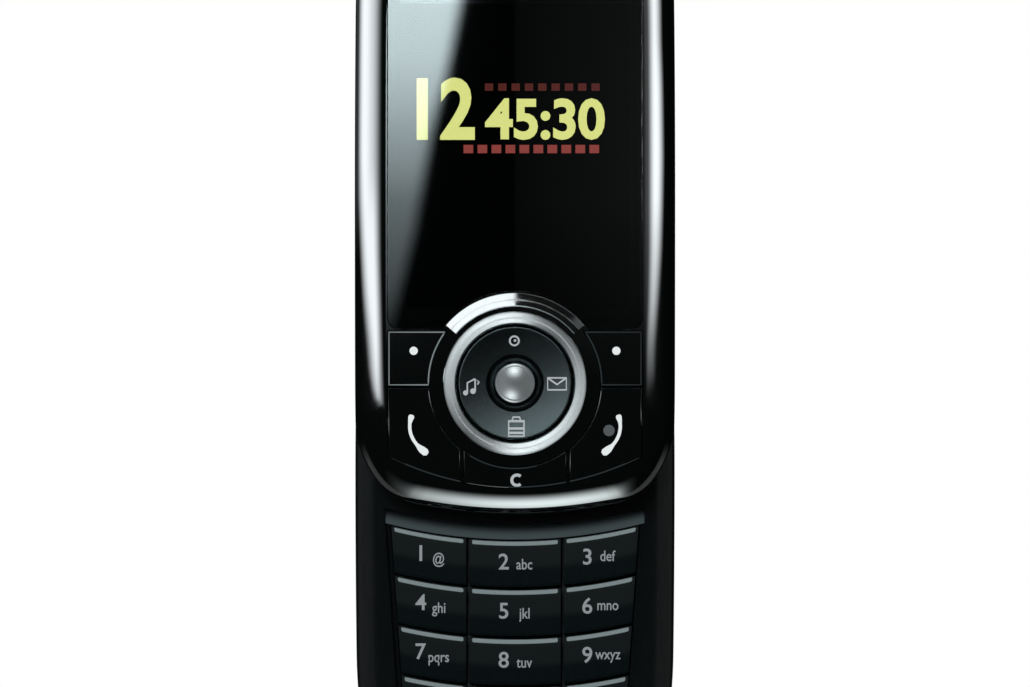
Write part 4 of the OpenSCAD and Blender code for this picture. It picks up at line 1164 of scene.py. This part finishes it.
shot = {"aimY": 18.7, "distance": 1600.0, "frameWidth": 154.5, "sensor": 36.0}
cameraData = bpy.data.cameras.new("camera")
cameraData.sensor_width = shot["sensor"]
cameraData.lens = shot["sensor"] * shot["distance"] / shot["frameWidth"]
cameraData.clip_start = 0.01
cameraData.clip_end = 20.0
camera = bpy.data.objects.new("camera", cameraData)
camera.location = (0, shot["aimY"] * mm, (slideTop + shot["distance"]) * mm)
bpy.context.scene.collection.objects.link(camera)
bpy.context.scene.camera = camera

# world: white behind the phone, nearly dark in its reflections

world = bpy.data.worlds.new("studio")
bpy.context.scene.world = world
world.use_nodes = True
tree = world.node_tree
tree.nodes.clear()
worldOut = tree.nodes.new("ShaderNodeOutputWorld")
ray = tree.nodes.new("ShaderNodeLightPath")
white = tree.nodes.new("ShaderNodeBackground")
white.inputs["Color"].default_value = (1, 1, 1, 1)
dark = tree.nodes.new("ShaderNodeBackground")
dark.inputs["Color"].default_value = (0.004, 0.0045, 0.0045, 1)
pick = tree.nodes.new("ShaderNodeMixShader")
tree.links.new(ray.outputs["Is Camera Ray"], pick.inputs["Fac"])
tree.links.new(dark.outputs["Background"], pick.inputs[1])
tree.links.new(white.outputs["Background"], pick.inputs[2])
tree.links.new(pick.outputs["Shader"], worldOut.inputs["Surface"])
bpy.context.scene.view_settings.view_transform = "Standard"

# lights: soft daylight for matt surfaces, and glowing cards seen only in reflections

def addArea(name, place, aim, size, power):
    data = bpy.data.lights.new(name, "AREA")
    data.shape = "DISK"
    data.size = size
    data.energy = power
    lamp = bpy.data.objects.new(name, data)
    lamp.location = place
    lamp.rotation_euler = (Vector(aim) - Vector(place)).to_track_quat("-Z", "Y").to_euler()
    lamp.visible_glossy = False
    bpy.context.scene.collection.objects.link(lamp)


addArea("daylight", (-0.9, 1.2, 2.2), (0, 0.02, 0), 1.6, 90.0)


def cardMaterial(tint, strength):
    material, tree, out = newMaterial("cardGlow")
    amount = tree.nodes.new("ShaderNodeAttribute")
    amount.attribute_name = "glow"
    scale = tree.nodes.new("ShaderNodeMath")
    scale.operation = "MULTIPLY"
    scale.inputs[1].default_value = strength
    tree.links.new(amount.outputs["Fac"], scale.inputs[0])
    shader = tree.nodes.new("ShaderNodeEmission")
    shader.inputs["Color"].default_value = tint + (1.0,)
    tree.links.new(scale.outputs["Value"], shader.inputs["Strength"])
    through = tree.nodes.new("ShaderNodeBsdfTransparent")
    both = tree.nodes.new("ShaderNodeAddShader")
    tree.links.new(shader.outputs["Emission"], both.inputs[0])
    tree.links.new(through.outputs["BSDF"], both.inputs[1])
    tree.links.new(both.outputs["Shader"], out.inputs["Surface"])
    return material


# place gives a card's points and glow its brightness, and only the receivers mirror it

def addCard(name, place, glow, uRange, vRange, uSteps, vSteps, tint, strength, receivers):
    points, levels = [], []
    for j in range(vSteps + 1):
        for i in range(uSteps + 1):
            u = mix(uRange[0], uRange[1], i / uSteps)
            v = mix(vRange[0], vRange[1], j / vSteps)
            points.append(place(u, v))
            levels.append(max(0.0, glow(u, v)))
    faces = []
    row = uSteps + 1
    for j in range(vSteps):
        for i in range(uSteps):
            a = j * row + i
            corners = (a, a + 1, a + row + 1, a + row)
            if max(levels[c] for c in corners) > 0.002:
                faces.append(corners)
    mesh = bpy.data.meshes.new(name)
    mesh.from_pydata(points, [], faces)
    stored = mesh.attributes.new("glow", "FLOAT", "POINT")
    stored.data.foreach_set("value", levels)
    mesh.materials.append(cardMaterial(tint, strength))
    card = bpy.data.objects.new(name, mesh)
    bpy.context.scene.collection.objects.link(card)
    card.visible_camera = False
    card.visible_diffuse = False
    card.visible_shadow = False
    card.visible_volume_scatter = False
    seenBy = bpy.data.collections.new("seenBy_" + name)
    for pieceName in receivers:
        seenBy.objects.link(bpy.data.objects[pieceName])
    card.light_linking.receiver_collection = seenBy


faceZ = slideTop * mm
slideGloss = ["slideFace", "windowPane", "cap_left_soft_key", "cap_right_soft_key", "cap_call_key",
              "cap_end_key", "cap_clear_key"]
mirrorScale = 1 + 1000 / shot["distance"]        # a card 1 m above the face, seen from the camera
mirrorShift = -shot["aimY"] / shot["distance"]
windowEdge = [(-8.3, 70.3), (-10.5, 59.2), (-12.8, 50.2), (-15.3, 35.8), (-18.3, 23.0), (-20.5, 14.0)]
windowStops = [(18, 0.0), (25, 0.042), (33, 0.078), (40, 0.118), (50, 0.28), (62, 0.51), (72, 0.6)]


def edgeX(y):
    topX, topY = windowEdge[0]
    if y >= topY:
        return topX + (y - topY) * 0.17
    for (x1, y1), (x0, y0) in zip(windowEdge, windowEdge[1:]):
        if y >= y0:
            return mix(x0, x1, (y - y0) / (y1 - y0))
    return windowEdge[-1][0]


def stopLevel(stops, place):
    if place <= stops[0][0]:
        return stops[0][1]
    for (x0, v0), (x1, v1) in zip(stops, stops[1:]):
        if place <= x1:
            return mix(v0, v1, (place - x0) / (x1 - x0))
    return stops[-1][1]


def windowGlow(x, y):
    inside = 1 - smooth(-1.6, 1.6, x - edgeX(y))
    return stopLevel(windowStops, y) * inside * smooth(-20.6, -19.4, x)


addCard("windowCard",
        lambda x, y: (x * mm * mirrorScale, y * mm * mirrorScale + mirrorShift, faceZ + 1.0),
        windowGlow, (-21, 0), (16, 95), 84, 158, (0.8, 0.967, 1.0), 18.6, slideGloss)

# bright bands by height: where each starts, is full, starts to fall and ends, then its level
leftBand = [(2.0, 5, 25, 20, 45, 0.0), (4.6, 5, 25, 20, 45, 0.12), (7.6, 5, 34, 22, 56, 0.8),
            (17.7, 9, 36, 32, 77, 1.0), (25.2, 12, 40, 50, 98, 1.0), (32.7, 14, 46, 62, 112, 1.0),
            (40.2, 14, 48, 72, 124, 1.0), (47.7, 14, 48, 80, 124, 1.0)]
rightBand = [(8.0, 6, 17, 24, 44, 0.0), (10.2, 6, 17, 24, 44, 0.01), (17.7, 6, 17, 24, 44, 0.17),
             (25.2, 10, 30, 30, 58, 0.52), (32.7, 12, 36, 38, 70, 0.72), (40.2, 12, 38, 41, 75, 1.0),
             (47.7, 12, 38, 43, 78, 1.0), (60.0, 12, 38, 41, 75, 1.0), (68.0, 12, 38, 36, 70, 0.95)]


def bandAt(stops, y):
    for low, high in zip(stops, stops[1:]):
        if y <= high[0]:
            t = max(0.0, (y - low[0]) / (high[0] - low[0]))
            return [mix(a, b, t) for a, b in zip(low[1:], high[1:])]
    return stops[-1][1:]


def cove(side):
    def place(phi, y):
        turn = math.radians(phi)
        return side * math.sin(turn), y * mm * mirrorScale + mirrorShift, faceZ + math.cos(turn)
    return place


def leftGlow(phi, y):
    start, full, fall, end, level = bandAt(leftBand, y)
    late = 0.37 * smooth(34, 48, y) * (1 - smooth(38, 75, phi))
    faint = 0.02 * smooth(100, 120, phi) * smooth(30, 45, y)
    return level * smooth(start, full, phi) * (1 - smooth(fall, end, phi)) * (1 - late) + faint


addCard("leftCove", cove(-1), leftGlow, (3, 144), (0, 150), 141, 100, (0.92, 0.97, 1.0), 6.2, slideGloss)


def rightGlow(phi, y):
    start, full, fall, end, level = bandAt(rightBand, y)
    tail = 0.06 * smooth(-2, 10, phi)
    low = 1 - smooth(95, 105, y)
    return level * (smooth(start, full, phi) + tail) * (1 - smooth(fall, end, phi)) * low


addCard("rightCove", cove(1), rightGlow, (0, 80), (0, 110), 80, 80, (0.93, 0.98, 1.0), 6.2, slideGloss)


def chinGlow(theta, x):
    bell = smooth(35, 75, theta) * (1 - smooth(75, 130, theta))
    return bell * (math.exp(-((x - 0.03) / 0.1) ** 2 / 2) + 0.05 * math.exp(-((x + 0.2) / 0.12) ** 2 / 2))


addCard("chinCove",
        lambda theta, x: (x * 2.2, -math.sin(math.radians(theta)), faceZ + math.cos(math.radians(theta))),
        chinGlow, (35, 130), (-0.5, 0.5), 60, 60, (0.9, 1.0, 1.0), 5.2, slideGloss)


# domes round the metal pieces: bearing runs clockwise from the phone's top, tilt from straight up

def addDome(name, radius, glow, tiltRange, tint, strength, receivers, steps=(180, 36)):
    def place(bearing, tilt):
        b, t = math.radians(bearing), math.radians(tilt)
        return (radius * math.sin(t) * math.sin(b), navY * mm + radius * math.sin(t) * math.cos(b),
                faceZ + radius * math.cos(t))
    addCard(name, place, glow, (-180, 180), tiltRange, steps[0], steps[1], tint, strength, receivers)


ringStops = [(0, 0.85), (12, 0.48), (22, 0.18), (40, 0.14), (60, 0.16), (82, 0.36), (115, 0.44),
             (150, 0.66), (176, 1.0), (188, 0.7), (200, 0.2), (222, 0.1), (245, 0.22), (280, 0.48),
             (310, 0.66), (330, 0.9), (350, 0.92), (360, 0.85)]


def ringGlow(bearing, tilt):
    return stopLevel(ringStops, bearing % 360) * mix(1.0, 0.4, smooth(50, 95, tilt))


addDome("ringDome", 1.6, ringGlow, (0, 112), (0.96, 1.0, 1.0), 2.1, ["brightRing"])


def crescentGlow(bearing, tilt):
    outer = smooth(-62, -48, bearing) * (1 - smooth(-1.5, 2.0, bearing))
    inner = smooth(118, 132, bearing)
    return 0.004 + max(outer, inner) + 0.06 * smooth(40, 46, bearing) * (1 - smooth(48, 56, bearing))


addDome("crescentDome", 1.5, crescentGlow, (0, 112), (0.97, 1.0, 1.0), 1.6, ["crescentTrim"], (360, 24))


def dishGlow(bearing, tilt):
    away = math.sin(math.radians(tilt)) * math.cos(math.radians(bearing + 25))
    return min(1.0, 0.075 * math.exp(20 * away))


addDome("dishDome", 1.4, dishGlow, (0, 45), (0.93, 1.0, 1.0), 0.95, ["navDish"])


def spotGlow(bearing, tilt, at, spread):
    a, b = math.radians(at[1]), math.radians(tilt)
    near = math.cos(a) * math.cos(b) + math.sin(a) * math.sin(b) * math.cos(math.radians(bearing - at[0]))
    return math.exp(-(math.degrees(math.acos(min(1.0, near))) / spread) ** 2)


def selectGlow(bearing, tilt):
    left = 0.06 * smooth(0.0, 0.5, -math.sin(math.radians(tilt)) * math.sin(math.radians(bearing + 20)))
    spots = spotGlow(bearing, tilt, (-4, 36), 15) + 0.75 * spotGlow(bearing, tilt, (196, 38), 15)
    return (0.13 + left + spots) * (1 - smooth(56, 68, tilt))


addDome("selectGlowDome", 1.55, selectGlow, (0, 80), (0.97, 1.0, 1.0), 2.1, ["selectDome"])


def ridgeGlow(bearing, tilt):
    return 1 - smooth(30, 70, tilt)


addDome("ridgeDome", 1.3, ridgeGlow, (0, 70), (0.92, 1.0, 1.0), 0.75,
        ["ridge_key_" + name for name in keyNames])


def levelParts(bearing, tilt):
    reach, turn = math.sin(math.radians(tilt)), math.radians(bearing)
    return reach * math.sin(turn), reach * math.cos(turn)


def lipGlow(bearing, tilt):
    across, away = levelParts(bearing, tilt)
    return smooth(-1.04, -0.2, away) * (1 - smooth(0.2, 0.7, abs(across)))


addDome("lipDome", 1.25, lipGlow, (0, 80), (0.92, 1.0, 1.0), 0.85, ["keypadLip"])


def rimGlow(bearing, tilt):
    return smooth(10, 34, tilt) * abs(math.sin(math.radians(bearing)))


addDome("rimDome", 1.7, rimGlow, (0, 112), (0.95, 1.0, 1.0), 0.14, ["baseFace"])


def keyGlow(bearing, tilt):
    return smooth(-0.2, -0.08, levelParts(bearing, tilt)[1]) * (1 - smooth(30, 60, tilt))


addDome("keyDome", 1.2, keyGlow, (0, 60), (0.9, 1.0, 1.0), 0.27,
        ["face_key_" + name for name in keyNames])

# seen from the sides, the ends and the back, and hardly at all from above the face

def farGlow(bearing, tilt):
    away = abs(bearing)
    far = (1 - smooth(45, 80, away)) * smooth(38, 100, tilt) * (1 - smooth(115, 140, tilt))
    walls = smooth(105, 120, away) * (1 - smooth(150, 165, away)) * smooth(94, 102, tilt)
    return far + 0.16 * walls * (1 - smooth(125, 145, tilt))


addDome("farDome", 1.85, farGlow, (38, 146), (0.95, 0.98, 1.0), 1.1, slideGloss + ["baseFace"])


def aroundGlow(bearing, tilt):
    return 0.25 + 0.75 * smooth(40, 150, tilt) * (0.6 + 0.4 * math.cos(math.radians(2 * bearing + 40)))


addDome("aroundDome", 1.9, aroundGlow, (0, 180), (0.96, 0.98, 1.0), 0.8,
        ["slide_rear_cover", "base_rear_cover", "battery_cover", "camera_bezel", "camera_lens",
         "camera_module", "earpiece_grille", "volume_key", "camera_key", "moving_plate", "guide_plate",
         "guide_screws", "slide_screws", "base_screws", "cableSlideHalf", "cableBaseHalf",
         "slide_spring", "data_socket", "loudspeaker"])
print("lights ready")
